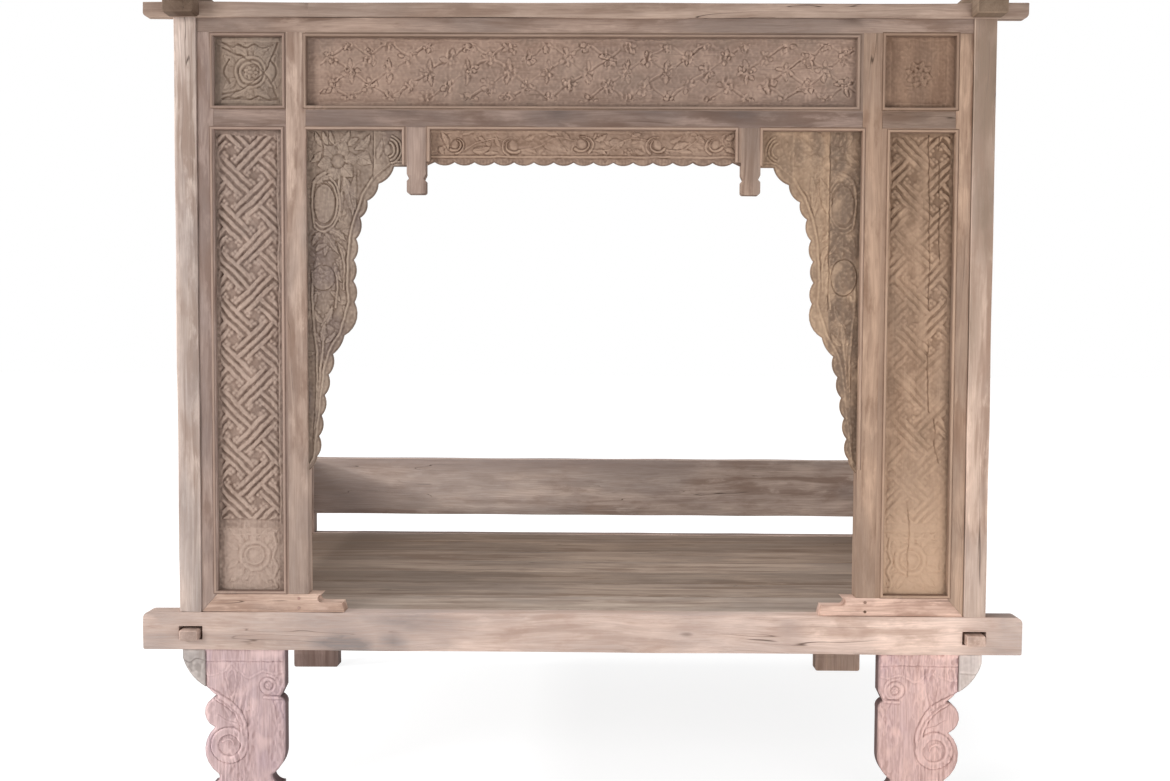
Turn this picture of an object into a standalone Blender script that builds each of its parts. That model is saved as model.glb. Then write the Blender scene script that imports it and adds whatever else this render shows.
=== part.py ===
"""Carved canopy day bed: a decked base on plank legs, four posts with a ring of top beams, low boards
at the back and sides, and a framed, carved screen across the front.

Metres, +Z up. The front faces -Y, and left is -X. The origin is on the floor under the middle of the bed.
"""

import math

import bmesh
import bpy
from mathutils import Vector

# Clearances
FIT_GAP = 0.0003             # air wherever two pieces meet
TENON_SINK = 0.006           # how deep a tenon block starts inside the piece it belongs to
ARC_STEPS = 7                # straight pieces in each rounded stretch of an outline

# Base frame
RAIL_LENGTH = 2.200
RAIL_HORN = 0.092            # rail end past the outer face of a post
RAIL_HEIGHT = 0.095
RAIL_THICK = 0.050
RAIL_CORNER = 0.016          # rounding of the upper corners of the rail ends
RAIL_FOOT_CORNER = 0.004     # rounding of their lower corners
BED_DEPTH = 1.262            # front face of the front rail to back face of the back rail
SIDE_RAIL_THICK = 0.056
SIDE_TENON_WIDTH = 0.047     # through tenon of a side rail
SIDE_TENON_HEIGHT = 0.027
SIDE_TENON_RISE = 0.026      # rail underside up to the tenon
SIDE_TENON_PROUD = 0.020
SIDE_TENON_PLAY = 0.006      # air beside and above the tenon in its long mortise
BEARER_NAMES = ("bearer_left", "bearer_middle", "bearer_right")
BEARER_WIDTH = 0.060
BEARER_HEIGHT = 0.050
BEARER_TENON = 0.020
BEARER_SHOULDER = 0.010

# Deck
DECK_BOARDS = 7
DECK_THICK = 0.022
DECK_JOINT = 0.0015          # open joint between two boards
DECK_BEARING = 0.022         # length of a board end carried by the side rail

# Front legs, stacked from the floor: foot, volute, lobe and shoulder
FOOT_HEIGHT = 0.058
VOLUTE_HEIGHT = 0.121
LOBE_HEIGHT = 0.079
SHOULDER_HEIGHT = 0.122
LEG_PLANK_WIDTH = 0.199
LEG_THICK = 0.046
LEG_SETBACK = 0.004          # front of the leg behind the front of the rail
FOOT_INSET = 0.008           # all insets are taken from the upright edge of the plank on that side
FOOT_OUTER_INSET = 0.015
FOOT_CORNER = 0.014
FOOT_COVE = 0.024            # height of the hollow between foot and neck
NECK_INSET = 0.034
NECK_OUTER_INSET = 0.031
VOLUTE_NOTCH = 0.022
VOLUTE_SWELL = 0.030
LOBE_NOTCH = 0.030
LOBE_SWELL = 0.030
SHOULDER_RISE = 0.026        # lobe notch up to the seam with the ear
HEEL_HEIGHT = 0.066          # rounded inner edge above the neck
HEEL_SWELL = 0.010
NICK_DEPTH = 0.012           # nick in the inner edge, level with the lobe notch
NICK_HALF = 0.025
NICK_SWELL = 0.005
EAR_WIDTH = 0.056
EAR_CHEEK = 0.023            # upright part of the ear's outer face
EAR_SWELL = 0.009
EAR_INSET = 0.005            # ear's outer face inside the post's outer face
EAR_TONGUE = 0.015
EAR_TONGUE_THICK = 0.012
EAR_TONGUE_MARGIN = 0.022
BACK_LEG_WIDTH = 0.155
BACK_LEG_INSET = 0.014
BACK_LEG_SHIFT = -0.032      # both back legs stand this far off centre along the rail
BACK_LEG_CORNER = 0.008
LEG_TENON = 0.022
LEG_TENON_THICK = 0.018
LEG_TENON_WIDTH = 0.064
LEG_TENON_INSET = 0.020

# Posts and top beams
POST_WIDTH = 0.054
POST_DEPTH = 0.050
POST_HEIGHT = 1.475          # deck to the underside of the beams
POST_TENON = 0.022
POST_TENON_WIDTH = 0.030
POST_TENON_THICK = 0.020
TOP_TENON_THICK = 0.012      # tenon of a post in the thin long beam
BEAM_HORN = 0.074            # beam end past the outer face of a post
BEAM_HEIGHT = 0.035
BEAM_DEPTH = 0.026
BEAM_CORNER = 0.011
SIDE_BEAM_WIDTH = 0.075
SIDE_BEAM_HEIGHT = 0.070
SIDE_BEAM_REACH = 0.050      # how far a side beam passes the front and back faces

# Back and side boards
BOARD_HEIGHT = 0.196
BOARD_THICK = 0.026
BOARD_RISE = 0.069           # deck up to the board
BOARD_INSET = 0.003          # board behind the outer face (sides) or inner face (back) of the posts
BOARD_TENON = 0.018
BOARD_SHOULDER = 0.015

# Screen frame
SCREEN_THICK = 0.046
SCREEN_SETBACK = 0.006
SCREEN_SIDE_GAP = 0.0008     # dark joint between screen and post
OUTER_STILE_WIDTH = 0.040
INNER_STILE_WIDTH = 0.048
PANEL_OPENING = 0.180        # between outer and inner stile
TOP_RAIL_HEIGHT = 0.035
CORNER_OPENING = 0.190       # between top rail and mid rail
MID_RAIL_HEIGHT = 0.041
SHOE_LOW = 0.024             # heights of the two steps of a shoe
SHOE_HIGH = 0.022
SHOE_LOW_REACH = 0.090       # how far each step passes the inner stile
SHOE_HIGH_REACH = 0.034
SHOE_LOW_SLANT = 0.006
FRAME_TENON_THICK = 0.016
FRAME_TENON = 0.018
FRAME_TENON_MARGIN = 0.003   # wood between a tenon and a panel groove
STILE_FOOT = 0.040           # tenon of the inner stile in the shoe
MITRE_TENON_HEIGHT = 0.012
MITRE_TENON_REACH = 0.022
SHOE_DOWEL = 0.018           # stub on the shoe's underside, let into the rail
SHOE_DOWEL_WIDTH = 0.060
PEG_RADIUS = 0.0035
PEG_SPACING = 0.024
PEG_LENGTH = 0.038
PEG_PROUD = 0.001
PEG_SIDES = 12

# Panels
PANEL_THICK = 0.018
PANEL_RECESS = 0.016
GROOVE_DEPTH = 0.010

# Hanging pieces under the middle rail
PENDANT_WIDTH = 0.047
PENDANT_THICK = 0.036
PENDANT_DROP = 0.163
PENDANT_BLOCK = 0.031        # height of the rounded end block
PENDANT_LIP = 0.006          # upper edge of the block up to the deepest point of the waist
PENDANT_TAPER = 0.011        # deepest point of the waist up to the full shank
PENDANT_WAIST_DEPTH = 0.0055
PENDANT_CORNER = 0.007
APRON_DROP = 0.0815          # mid rail to the notches between the scallops
SCALLOP_WIDTH = 0.0495
SCALLOP_DEPTH = 0.008
SCALLOP_MARGIN = 0.018       # part scallop between the pendant and the first notch
SPANDREL_WIDTH = 0.2495      # inner stile to pendant
SPANDREL_HEAD = 0.093        # depth of the spandrel beside the pendant
SPANDREL_FLAT = 0.0365       # level stretch of its edge beside the pendant
SPANDREL_DROP = 0.852
SPANDREL_TIP_SWELL = 0.003   # swell of the last, short lobe at the tip
# Knots of the spandrel's edge: reach from the stile, drop from the rail, lobes up to the knot,
# bend of the row of lobes, and swell of each lobe
SPANDREL_KNOTS = (
    (0.128, 0.220, 3, -0.012, 0.0075),
    (0.113, 0.430, 4, -0.009, 0.0080),
    (0.087, 0.514, 1, 0.000, 0.0180),
    (0.058, 0.561, 1, 0.000, 0.0050),
    (0.017, 0.819, 5, -0.005, 0.0080),
)

# Finishes: colour and roughness
FINISHES = {
    "frame": ((0.48, 0.36, 0.29, 1.0), 0.78),
    "deck": ((0.30, 0.24, 0.19, 1.0), 0.80),
    "carved": ((0.40, 0.29, 0.22, 1.0), 0.82),
    "leg": ((0.55, 0.36, 0.31, 1.0), 0.80),
    "ear": ((0.55, 0.51, 0.46, 1.0), 0.85),
    "peg": ((0.28, 0.19, 0.14, 1.0), 0.80),
}

# Levels and places worked out from the sizes above
leg_height = FOOT_HEIGHT + VOLUTE_HEIGHT + LOBE_HEIGHT + SHOULDER_HEIGHT
deck_top = leg_height + RAIL_HEIGHT
beam_bottom = deck_top + POST_HEIGHT
front_face = -BED_DEPTH / 2
back_face = BED_DEPTH / 2
post_outer = RAIL_LENGTH / 2 - RAIL_HORN
post_inner = post_outer - POST_WIDTH
post_offset = (post_inner + post_outer) / 2
beam_half = post_outer + BEAM_HORN

screen_front = front_face + SCREEN_SETBACK
screen_back = screen_front + SCREEN_THICK
screen_middle = (screen_front + screen_back) / 2
panel_front = screen_front + PANEL_RECESS
panel_back = panel_front + PANEL_THICK
outer_stile_outer = post_inner - SCREEN_SIDE_GAP
outer_stile_inner = outer_stile_outer - OUTER_STILE_WIDTH
inner_stile_outer = outer_stile_inner - PANEL_OPENING
inner_stile_inner = inner_stile_outer - INNER_STILE_WIDTH
top_rail_bottom = beam_bottom - TOP_RAIL_HEIGHT
mid_rail_top = top_rail_bottom - CORNER_OPENING
mid_rail_bottom = mid_rail_top - MID_RAIL_HEIGHT
shoe_step = deck_top + SHOE_LOW
shoe_top = shoe_step + SHOE_HIGH
pendant_outer = inner_stile_inner - SPANDREL_WIDTH
pendant_inner = pendant_outer - PENDANT_WIDTH
pendant_bottom = mid_rail_bottom - PENDANT_DROP

SIDES = (("left", -1), ("right", 1))

for old in list(bpy.data.objects):
    bpy.data.objects.remove(old)

bed = bpy.data.objects.new("canopy_bed", None)
bpy.context.scene.collection.objects.link(bed)


def finish(name, kind):
    """A plain material of one piece, in the colour of its finish."""
    colour, roughness = FINISHES[kind]
    material = bpy.data.materials.new(name + "_wood")
    material.use_nodes = True
    shader = material.node_tree.nodes["Principled BSDF"]
    shader.inputs["Base Color"].default_value = colour
    shader.inputs["Roughness"].default_value = roughness
    shader.inputs["Metallic"].default_value = 0.0
    material.diffuse_color = colour
    return material


def add_object(name, form, centre, kind):
    """Turns a bmesh, whose points lie about centre, into a named object."""
    bmesh.ops.recalc_face_normals(form, faces=form.faces)
    mesh = bpy.data.meshes.new(name)
    form.to_mesh(mesh)
    form.free()
    piece = bpy.data.objects.new(name, mesh)
    piece.location = centre
    piece.parent = bed
    if kind:
        mesh.materials.append(finish(name, kind))
    bpy.context.scene.collection.objects.link(piece)
    return piece


def block(name, low, high, kind=None):
    """A square-edged block between two corners."""
    low, high = Vector(low), Vector(high)
    form = bmesh.new()
    bmesh.ops.create_cube(form, size=1.0)
    bmesh.ops.scale(form, vec=high - low, verts=form.verts)
    return add_object(name, form, (low + high) / 2, kind)


def plank(name, outline, near, far, kind):
    """An outline in X and Z, cut from a plank that runs from near to far in Y."""
    centre = Vector((
        sum(x for x, z in outline) / len(outline),
        (near + far) / 2,
        sum(z for x, z in outline) / len(outline),
    ))
    form = bmesh.new()
    corners = [form.verts.new((x - centre.x, near - centre.y, z - centre.z)) for x, z in outline]
    face = form.faces.new(corners)
    grown = bmesh.ops.extrude_face_region(form, geom=[face])
    moved = [item for item in grown["geom"] if isinstance(item, bmesh.types.BMVert)]
    bmesh.ops.translate(form, vec=(0, far - near, 0), verts=moved)
    return add_object(name, form, centre, kind)


def rod(name, place, radius, near, far, kind=None):
    """A round rod along Y through the point place in X and Z."""
    form = bmesh.new()
    bmesh.ops.create_cone(
        form, cap_ends=True, segments=PEG_SIDES, radius1=radius, radius2=radius, depth=far - near
    )
    for point in form.verts:
        point.co = Vector((point.co.x, point.co.z, point.co.y))
    return add_object(name, form, Vector((place[0], (near + far) / 2, place[1])), kind)


def combine(piece, tool, operation):
    """Adds a tool to a piece, or cuts it out, and clears the tool away."""
    joint = piece.modifiers.new("joint", "BOOLEAN")
    joint.operation = operation
    joint.solver = "EXACT"
    joint.object = tool
    state = bpy.context.evaluated_depsgraph_get()
    mesh = bpy.data.meshes.new_from_object(piece.evaluated_get(state))
    piece.modifiers.remove(joint)
    mesh.name = piece.name
    piece.data = mesh
    bpy.data.objects.remove(tool)


def grown_block(low, high, by=FIT_GAP):
    """A cutting block that leaves clearance on every side."""
    return block("cutter", [v - by for v in low], [v + by for v in high])


def ordered(low, high):
    """The same box with its corners put in order, for boxes mirrored to the left side."""
    pairs = [sorted(pair) for pair in zip(low, high)]
    return [a for a, b in pairs], [b for a, b in pairs]


def tenon(owner, sockets, low, high):
    """A tenon block on its owner, and a mortise with clearance in every piece that takes it."""
    low, high = ordered(low, high)
    combine(owner, block("tenon", low, high), "UNION")
    for socket in sockets:
        combine(socket, grown_block(low, high), "DIFFERENCE")


def groove(members, low, high):
    """The groove that a panel of this box needs in the members round it."""
    low, high = ordered(low, high)
    for member in members:
        combine(member, grown_block(low, high), "DIFFERENCE")


def bowed(start, end, swell):
    """Points after start up to end on an arc that swells to the right of the way by this much."""
    (x0, z0), (x1, z1) = start, end
    if swell == 0:
        return [end]
    chord = math.hypot(x1 - x0, z1 - z0)
    radius = (chord * chord / 4 + swell * swell) / (2 * abs(swell))
    half = math.asin(min(1.0, chord / 2 / radius))
    if abs(swell) > chord / 2:
        half = math.pi - half
    across = ((z1 - z0) / chord, -(x1 - x0) / chord)
    along = ((x1 - x0) / chord, (z1 - z0) / chord)
    points = []
    for step in range(1, ARC_STEPS + 1):
        angle = -half + 2 * half * step / ARC_STEPS
        out = math.copysign(radius * (math.cos(angle) - math.cos(half)), swell)
        run = chord / 2 + radius * math.sin(angle)
        points.append((x0 + along[0] * run + across[0] * out, z0 + along[1] * run + across[1] * out))
    points[-1] = end
    return points


def path(start, steps):
    """An outline from a start point and steps of (x, z, swell)."""
    points = [start]
    for x, z, swell in steps:
        points += bowed(points[-1], (x, z), swell)
    if math.dist(points[0], points[-1]) < FIT_GAP:
        points.pop()
    return points


def mirrored(outline, side):
    """The outline on the right side, or its mirror image on the left."""
    return [(side * x, z) for x, z in outline]


def corner_swell(radius):
    """Swell of the arc that rounds a square corner with this radius."""
    return radius * (1 - math.sqrt(0.5))


def long_rail_outline():
    """A bed rail with rounded ends."""
    half = RAIL_LENGTH / 2
    foot, head = RAIL_FOOT_CORNER, RAIL_CORNER
    foot_swell, head_swell = corner_swell(foot), corner_swell(head)
    low, high = leg_height + FIT_GAP, deck_top
    return path((-half + foot, low), (
        (half - foot, low, 0), (half, low + foot, foot_swell),
        (half, high - head, 0), (half - head, high, head_swell),
        (-half + head, high, 0), (-half, high - head, head_swell),
        (-half, low + foot, 0), (-half + foot, low, foot_swell),
    ))


def build_base():
    """Long rails, side rails with proud through tenons, bearers and deck boards."""
    outline = long_rail_outline()
    front = plank("front_bed_rail", outline, front_face, front_face + RAIL_THICK, "frame")
    back = plank("back_bed_rail", outline, back_face - RAIL_THICK, back_face, "frame")
    near = front_face + RAIL_THICK + FIT_GAP
    far = back_face - RAIL_THICK - FIT_GAP
    board_bottom = deck_top - DECK_THICK
    rebate_inner = post_offset - SIDE_RAIL_THICK / 2
    tenon_low = leg_height + SIDE_TENON_RISE
    tenon_high = tenon_low + SIDE_TENON_HEIGHT

    for word, side in SIDES:
        x = side * post_offset
        rail = block(
            word + "_side_rail",
            (x - SIDE_RAIL_THICK / 2, near, leg_height + FIT_GAP),
            (x + SIDE_RAIL_THICK / 2, far, deck_top),
            "frame",
        )
        groove([rail], (side * (rebate_inner - DECK_BEARING), near - RAIL_THICK, board_bottom),
               (side * (rebate_inner + DECK_BEARING), far + RAIL_THICK, deck_top + DECK_THICK))
        for socket, inside, outside in (
            (front, near + TENON_SINK, front_face - SIDE_TENON_PROUD),
            (back, far - TENON_SINK, back_face + SIDE_TENON_PROUD),
        ):
            low, high = ordered((x - SIDE_TENON_WIDTH / 2, inside, tenon_low),
                                (x + SIDE_TENON_WIDTH / 2, outside, tenon_high))
            tenon(rail, [socket], low, high)
            play = SIDE_TENON_PLAY
            loose_low = (low[0] - play, low[1], low[2] - FIT_GAP)
            loose_high = (high[0] + play, high[1], high[2] + play)
            combine(socket, block("cutter", loose_low, loose_high), "DIFFERENCE")

    bearer_top = board_bottom - FIT_GAP
    spacing = 2 * rebate_inner / (len(BEARER_NAMES) + 1)
    for number, name in enumerate(BEARER_NAMES, start=1):
        x = -rebate_inner + spacing * number
        low_x, high_x = x - BEARER_WIDTH / 2, x + BEARER_WIDTH / 2
        bearer_bottom = bearer_top - BEARER_HEIGHT
        bearer = block(name, (low_x, near, bearer_bottom), (high_x, far, bearer_top), "deck")
        for socket, inside, outside in (
            (front, near + TENON_SINK, near - BEARER_TENON),
            (back, far - TENON_SINK, far + BEARER_TENON),
        ):
            tenon(bearer, [socket], (low_x + BEARER_SHOULDER, inside, bearer_bottom + BEARER_SHOULDER),
                  (high_x - BEARER_SHOULDER, outside, bearer_top - BEARER_SHOULDER))

    pitch = (far - near + DECK_JOINT) / DECK_BOARDS
    half = rebate_inner + DECK_BEARING - FIT_GAP
    for number in range(DECK_BOARDS):
        start = near + pitch * number
        block(
            f"deck_board_{number + 1}",
            (-half, start, board_bottom),
            (half, start + pitch - DECK_JOINT, deck_top),
            "deck",
        )
    return front, back


def front_leg_outline(inner):
    """The scroll-cut plank, from its upright inner edge at x = inner outwards."""
    outer = inner + LEG_PLANK_WIDTH
    neck = FOOT_HEIGHT
    notch = neck + VOLUTE_HEIGHT
    lobe = notch + LOBE_HEIGHT
    top = leg_height
    foot_low, foot_high = inner + FOOT_INSET, outer - FOOT_OUTER_INSET
    round_off = corner_swell(FOOT_CORNER)
    foot_side = FOOT_HEIGHT - FOOT_COVE
    cove = -corner_swell(FOOT_COVE)
    return path((foot_low + FOOT_CORNER, 0.0), (
        (foot_high - FOOT_CORNER, 0.0, 0),
        (foot_high, FOOT_CORNER, round_off),
        (foot_high, foot_side, 0),
        (outer - NECK_OUTER_INSET, neck, cove),
        (outer - VOLUTE_NOTCH, notch, VOLUTE_SWELL),
        (outer - LOBE_NOTCH, lobe, LOBE_SWELL),
        (outer, lobe + SHOULDER_RISE, 0),
        (outer, top, 0),
        (inner, top, 0),
        (inner, lobe + NICK_HALF, 0),
        (inner + NICK_DEPTH, lobe, 0),
        (inner, lobe - NICK_HALF, NICK_SWELL),
        (inner, neck + HEEL_HEIGHT, 0),
        (inner + NECK_INSET, neck, HEEL_SWELL),
        (foot_low, foot_side, cove),
        (foot_low, FOOT_CORNER, 0),
        (foot_low + FOOT_CORNER, 0.0, round_off),
    ))


def ear_outline(outer):
    """The ear that fills the corner between the leg and the rail's underside."""
    inner = outer - EAR_WIDTH
    bottom = FOOT_HEIGHT + VOLUTE_HEIGHT + LOBE_HEIGHT + SHOULDER_RISE
    return path((inner, bottom), (
        (outer, leg_height - EAR_CHEEK, EAR_SWELL),
        (outer, leg_height, 0),
        (inner, leg_height, 0),
    ))


def back_leg_outline(outer):
    """A plain plank leg with rounded lower corners."""
    inner = outer - BACK_LEG_WIDTH
    r = BACK_LEG_CORNER
    swell = corner_swell(r)
    return path((inner + r, 0.0), (
        (outer - r, 0.0, 0), (outer, r, swell), (outer, leg_height, 0), (inner, leg_height, 0),
        (inner, r, 0), (inner + r, 0.0, swell),
    ))


def leg_tenon(leg, rail, side, inner, middle, shift=0.0):
    """The stub that holds a leg in the underside of its rail."""
    start = inner + LEG_TENON_INSET
    end = start + LEG_TENON_WIDTH
    near, far = middle - LEG_TENON_THICK / 2, middle + LEG_TENON_THICK / 2
    tenon(leg, [rail], (side * start + shift, near, leg_height - TENON_SINK),
          (side * end + shift, far, leg_height + LEG_TENON))


def build_legs(front_rail, back_rail):
    """Carved front legs with their ear blocks, and plain back legs."""
    near = front_face + LEG_SETBACK
    far = near + LEG_THICK
    middle = (near + far) / 2
    back_near = back_face - LEG_SETBACK - LEG_THICK
    ear_outer = post_outer - EAR_INSET
    leg_inner = ear_outer - EAR_WIDTH - FIT_GAP - LEG_PLANK_WIDTH
    back_outer = post_outer - BACK_LEG_INSET
    tongue_low = FOOT_HEIGHT + VOLUTE_HEIGHT + LOBE_HEIGHT + SHOULDER_RISE + EAR_TONGUE_MARGIN

    for word, side in SIDES:
        leg = plank(f"front_{word}_leg", mirrored(front_leg_outline(leg_inner), side), near, far, "leg")
        ear = plank(f"front_{word}_leg_ear", mirrored(ear_outline(ear_outer), side), near, far, "ear")
        leg_tenon(leg, front_rail, side, leg_inner, middle)
        seam = leg_inner + LEG_PLANK_WIDTH
        tenon(ear, [leg],
              (side * (seam - EAR_TONGUE), middle - EAR_TONGUE_THICK / 2, tongue_low),
              (side * (seam + TENON_SINK), middle + EAR_TONGUE_THICK / 2, leg_height - EAR_TONGUE_MARGIN))
        outline = [(x + BACK_LEG_SHIFT, z) for x, z in mirrored(back_leg_outline(back_outer), side)]
        back_leg = plank(f"back_{word}_leg", outline, back_near, back_near + LEG_THICK, "leg")
        leg_tenon(back_leg, back_rail, side, back_outer - BACK_LEG_WIDTH, back_near + LEG_THICK / 2,
                  BACK_LEG_SHIFT)


def beam_outline():
    """A long top beam with its lower end corners rounded."""
    half = beam_half
    low, high = beam_bottom, beam_bottom + BEAM_HEIGHT
    swell = corner_swell(BEAM_CORNER)
    return path((-half + BEAM_CORNER, low), (
        (half - BEAM_CORNER, low, 0), (half, low + BEAM_CORNER, swell), (half, high, 0),
        (-half, high, 0), (-half, low + BEAM_CORNER, 0), (-half + BEAM_CORNER, low, swell),
    ))


def build_canopy(front_rail, back_rail):
    """Posts tenoned into rails and beams, side beams lapped over the long beams, and the low boards."""
    beams = {
        "front": plank("front_top_beam", beam_outline(), front_face, front_face + BEAM_DEPTH, "frame"),
        "back": plank("back_top_beam", beam_outline(), back_face - BEAM_DEPTH, back_face, "frame"),
    }
    rails = {"front": front_rail, "back": back_rail}
    nears = {"front": front_face, "back": back_face - POST_DEPTH}
    beam_middles = {"front": front_face + BEAM_DEPTH / 2, "back": back_face - BEAM_DEPTH / 2}
    posts = {}
    for end in ("front", "back"):
        for word, side in SIDES:
            x, near = side * post_offset, nears[end]
            post = block(
                f"{end}_{word}_post",
                (x - POST_WIDTH / 2, near, deck_top + FIT_GAP),
                (x + POST_WIDTH / 2, near + POST_DEPTH, beam_bottom - FIT_GAP),
                "frame",
            )
            low_x, high_x = x - POST_TENON_WIDTH / 2, x + POST_TENON_WIDTH / 2
            for socket, middle, thick, start, stop in (
                (rails[end], near + POST_DEPTH / 2, POST_TENON_THICK,
                 deck_top - POST_TENON, deck_top + TENON_SINK),
                (beams[end], beam_middles[end], TOP_TENON_THICK,
                 beam_bottom - TENON_SINK, beam_bottom + POST_TENON),
            ):
                tenon(post, [socket], (low_x, middle - thick / 2, start),
                      (high_x, middle + thick / 2, stop))
            posts[end, word] = post

    for word, side in SIDES:
        x = side * post_offset
        beam = block(
            word + "_top_beam",
            (x - SIDE_BEAM_WIDTH / 2, front_face - SIDE_BEAM_REACH, beam_bottom),
            (x + SIDE_BEAM_WIDTH / 2, back_face + SIDE_BEAM_REACH, beam_bottom + SIDE_BEAM_HEIGHT),
            "frame",
        )
        for near in (front_face, back_face - BEAM_DEPTH):
            groove([beam], (-beam_half, near, beam_bottom - BEAM_HEIGHT),
                   (beam_half, near + BEAM_DEPTH, beam_bottom + BEAM_HEIGHT))

    board_low = deck_top + BOARD_RISE
    board_high = board_low + BOARD_HEIGHT
    tenon_low, tenon_high = board_low + BOARD_SHOULDER, board_high - BOARD_SHOULDER
    near = back_face - POST_DEPTH + BOARD_INSET
    end_x = post_inner - FIT_GAP
    far = near + BOARD_THICK
    back_board = block("back_board", (-end_x, near, board_low), (end_x, far, board_high), "deck")
    side_near = front_face + POST_DEPTH + FIT_GAP
    side_far = back_face - POST_DEPTH - FIT_GAP
    for word, side in SIDES:
        tenon(back_board, [posts["back", word]],
              (side * (end_x - TENON_SINK), near, tenon_low),
              (side * (end_x + BOARD_TENON), far, tenon_high))
        outer = side * (post_outer - BOARD_INSET)
        inner = side * (post_outer - BOARD_INSET - BOARD_THICK)
        low, high = ordered((inner, side_near, board_low), (outer, side_far, board_high))
        board = block(word + "_side_board", low, high, "deck")
        for end, inside, outside in (
            ("front", side_near + TENON_SINK, side_near - BOARD_TENON),
            ("back", side_far - TENON_SINK, side_far + BOARD_TENON),
        ):
            tenon(board, [posts[end, word]], (inner, inside, tenon_low), (outer, outside, tenon_high))
    return posts


def frame_tenon(owner, sockets, span_x, span_z):
    """A tenon of the screen frame, in the middle of its thickness."""
    near = screen_middle - FRAME_TENON_THICK / 2
    far = screen_middle + FRAME_TENON_THICK / 2
    tenon(owner, sockets, (span_x[0], near, span_z[0]), (span_x[1], far, span_z[1]))


def shoe_outline():
    """The stepped shoe from its mitred outer corner to its two stepped ends."""
    low_end = inner_stile_inner - SHOE_LOW_REACH
    high_end = inner_stile_inner - SHOE_HIGH_REACH
    return path((outer_stile_outer, deck_top + FIT_GAP), (
        (outer_stile_inner, shoe_top, 0),
        (high_end, shoe_top, 0),
        (high_end, shoe_step, -SHOE_HIGH / 2),
        (low_end + SHOE_LOW_SLANT, shoe_step, 0),
        (low_end, deck_top + FIT_GAP, 0),
    ))


def outer_stile_outline():
    """An outer stile, mitred at its foot to meet the shoe."""
    mitre_gap = FIT_GAP * math.hypot(OUTER_STILE_WIDTH, shoe_top - deck_top) / OUTER_STILE_WIDTH
    top = top_rail_bottom - FIT_GAP
    return [
        (outer_stile_outer, deck_top + FIT_GAP + mitre_gap),
        (outer_stile_outer, top),
        (outer_stile_inner, top),
        (outer_stile_inner, shoe_top + mitre_gap),
    ]


def build_frame(front_rail, posts):
    """Rails, stiles and shoes of the screen, tenoned together, with pegs at the feet of the inner stiles."""
    inset = GROOVE_DEPTH + FRAME_TENON_MARGIN
    frame = {"top": block(
        "screen_top_rail",
        (-outer_stile_outer, screen_front, top_rail_bottom),
        (outer_stile_outer, screen_back, beam_bottom - FIT_GAP),
        "frame",
    )}
    mid_low, mid_high = mid_rail_bottom + inset, mid_rail_top - inset
    centre_end = inner_stile_inner - FIT_GAP
    frame["centre"] = block("centre_mid_rail", (-centre_end, screen_front, mid_rail_bottom),
                            (centre_end, screen_back, mid_rail_top), "frame")
    for word, side in SIDES:
        outer = plank(word + "_outer_stile", mirrored(outer_stile_outline(), side),
                      screen_front, screen_back, "frame")
        low, high = ordered((side * inner_stile_inner, screen_front, shoe_top + FIT_GAP),
                            (side * inner_stile_outer, screen_back, top_rail_bottom - FIT_GAP))
        inner = block(word + "_inner_stile", low, high, "frame")
        shoe = plank(word + "_shoe_rail", mirrored(shoe_outline(), side), screen_front, screen_back, "frame")
        low, high = ordered((side * (inner_stile_outer + FIT_GAP), screen_front, mid_rail_bottom),
                            (side * (outer_stile_inner - FIT_GAP), screen_back, mid_rail_top))
        mid = block(word + "_mid_rail", low, high, "frame")

        top_span = (top_rail_bottom - TENON_SINK, top_rail_bottom + FRAME_TENON)
        stile_span = (side * (inner_stile_inner + inset), side * (inner_stile_outer - inset))
        frame_tenon(inner, [frame["top"]], stile_span, top_span)
        frame_tenon(inner, [shoe], stile_span, (shoe_top - STILE_FOOT, shoe_top + TENON_SINK))
        outer_span = (side * (outer_stile_inner + inset), side * (outer_stile_outer - inset / 2))
        frame_tenon(outer, [frame["top"]], outer_span, top_span)
        frame_tenon(mid, [inner],
                    (side * (inner_stile_outer - FRAME_TENON), side * (inner_stile_outer + TENON_SINK)),
                    (mid_low, mid_high))
        frame_tenon(mid, [outer],
                    (side * (outer_stile_inner - TENON_SINK), side * (outer_stile_inner + FRAME_TENON)),
                    (mid_low, mid_high))
        frame_tenon(frame["centre"], [inner],
                    (side * (inner_stile_inner - TENON_SINK), side * (inner_stile_inner + FRAME_TENON)),
                    (mid_low, mid_high))
        frame_tenon(frame["top"], [posts["front", word]],
                    (side * (outer_stile_outer - TENON_SINK), side * (outer_stile_outer + FRAME_TENON)),
                    (top_rail_bottom + GROOVE_DEPTH, beam_bottom - GROOVE_DEPTH))
        mitre_middle = (deck_top + shoe_top) / 2
        mitre_end = outer_stile_inner - MITRE_TENON_REACH
        frame_tenon(outer, [shoe], (side * mitre_end, side * (outer_stile_outer - GROOVE_DEPTH)),
                    (mitre_middle - MITRE_TENON_HEIGHT / 2, mitre_middle + MITRE_TENON_HEIGHT / 2))
        dowel = side * (inner_stile_outer + PANEL_OPENING / 2)
        frame_tenon(shoe, [front_rail], (dowel - SHOE_DOWEL_WIDTH / 2, dowel + SHOE_DOWEL_WIDTH / 2),
                    (deck_top - SHOE_DOWEL, deck_top + TENON_SINK))

        peg_x = side * (inner_stile_inner + inner_stile_outer) / 2
        for place, rise in (("upper", PEG_SPACING / 2), ("lower", -PEG_SPACING / 2)):
            spot = (peg_x, mitre_middle + rise)
            near, far = screen_front - PEG_PROUD, screen_front + PEG_LENGTH
            for member in (shoe, inner):
                drill = rod("cutter", spot, PEG_RADIUS + FIT_GAP, near - FIT_GAP, far + FIT_GAP)
                combine(member, drill, "DIFFERENCE")
            rod(f"{word}_{place}_peg", spot, PEG_RADIUS, near, far, "peg")
        frame[word] = {"outer": outer, "inner": inner, "shoe": shoe, "mid": mid}
    return frame


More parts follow.
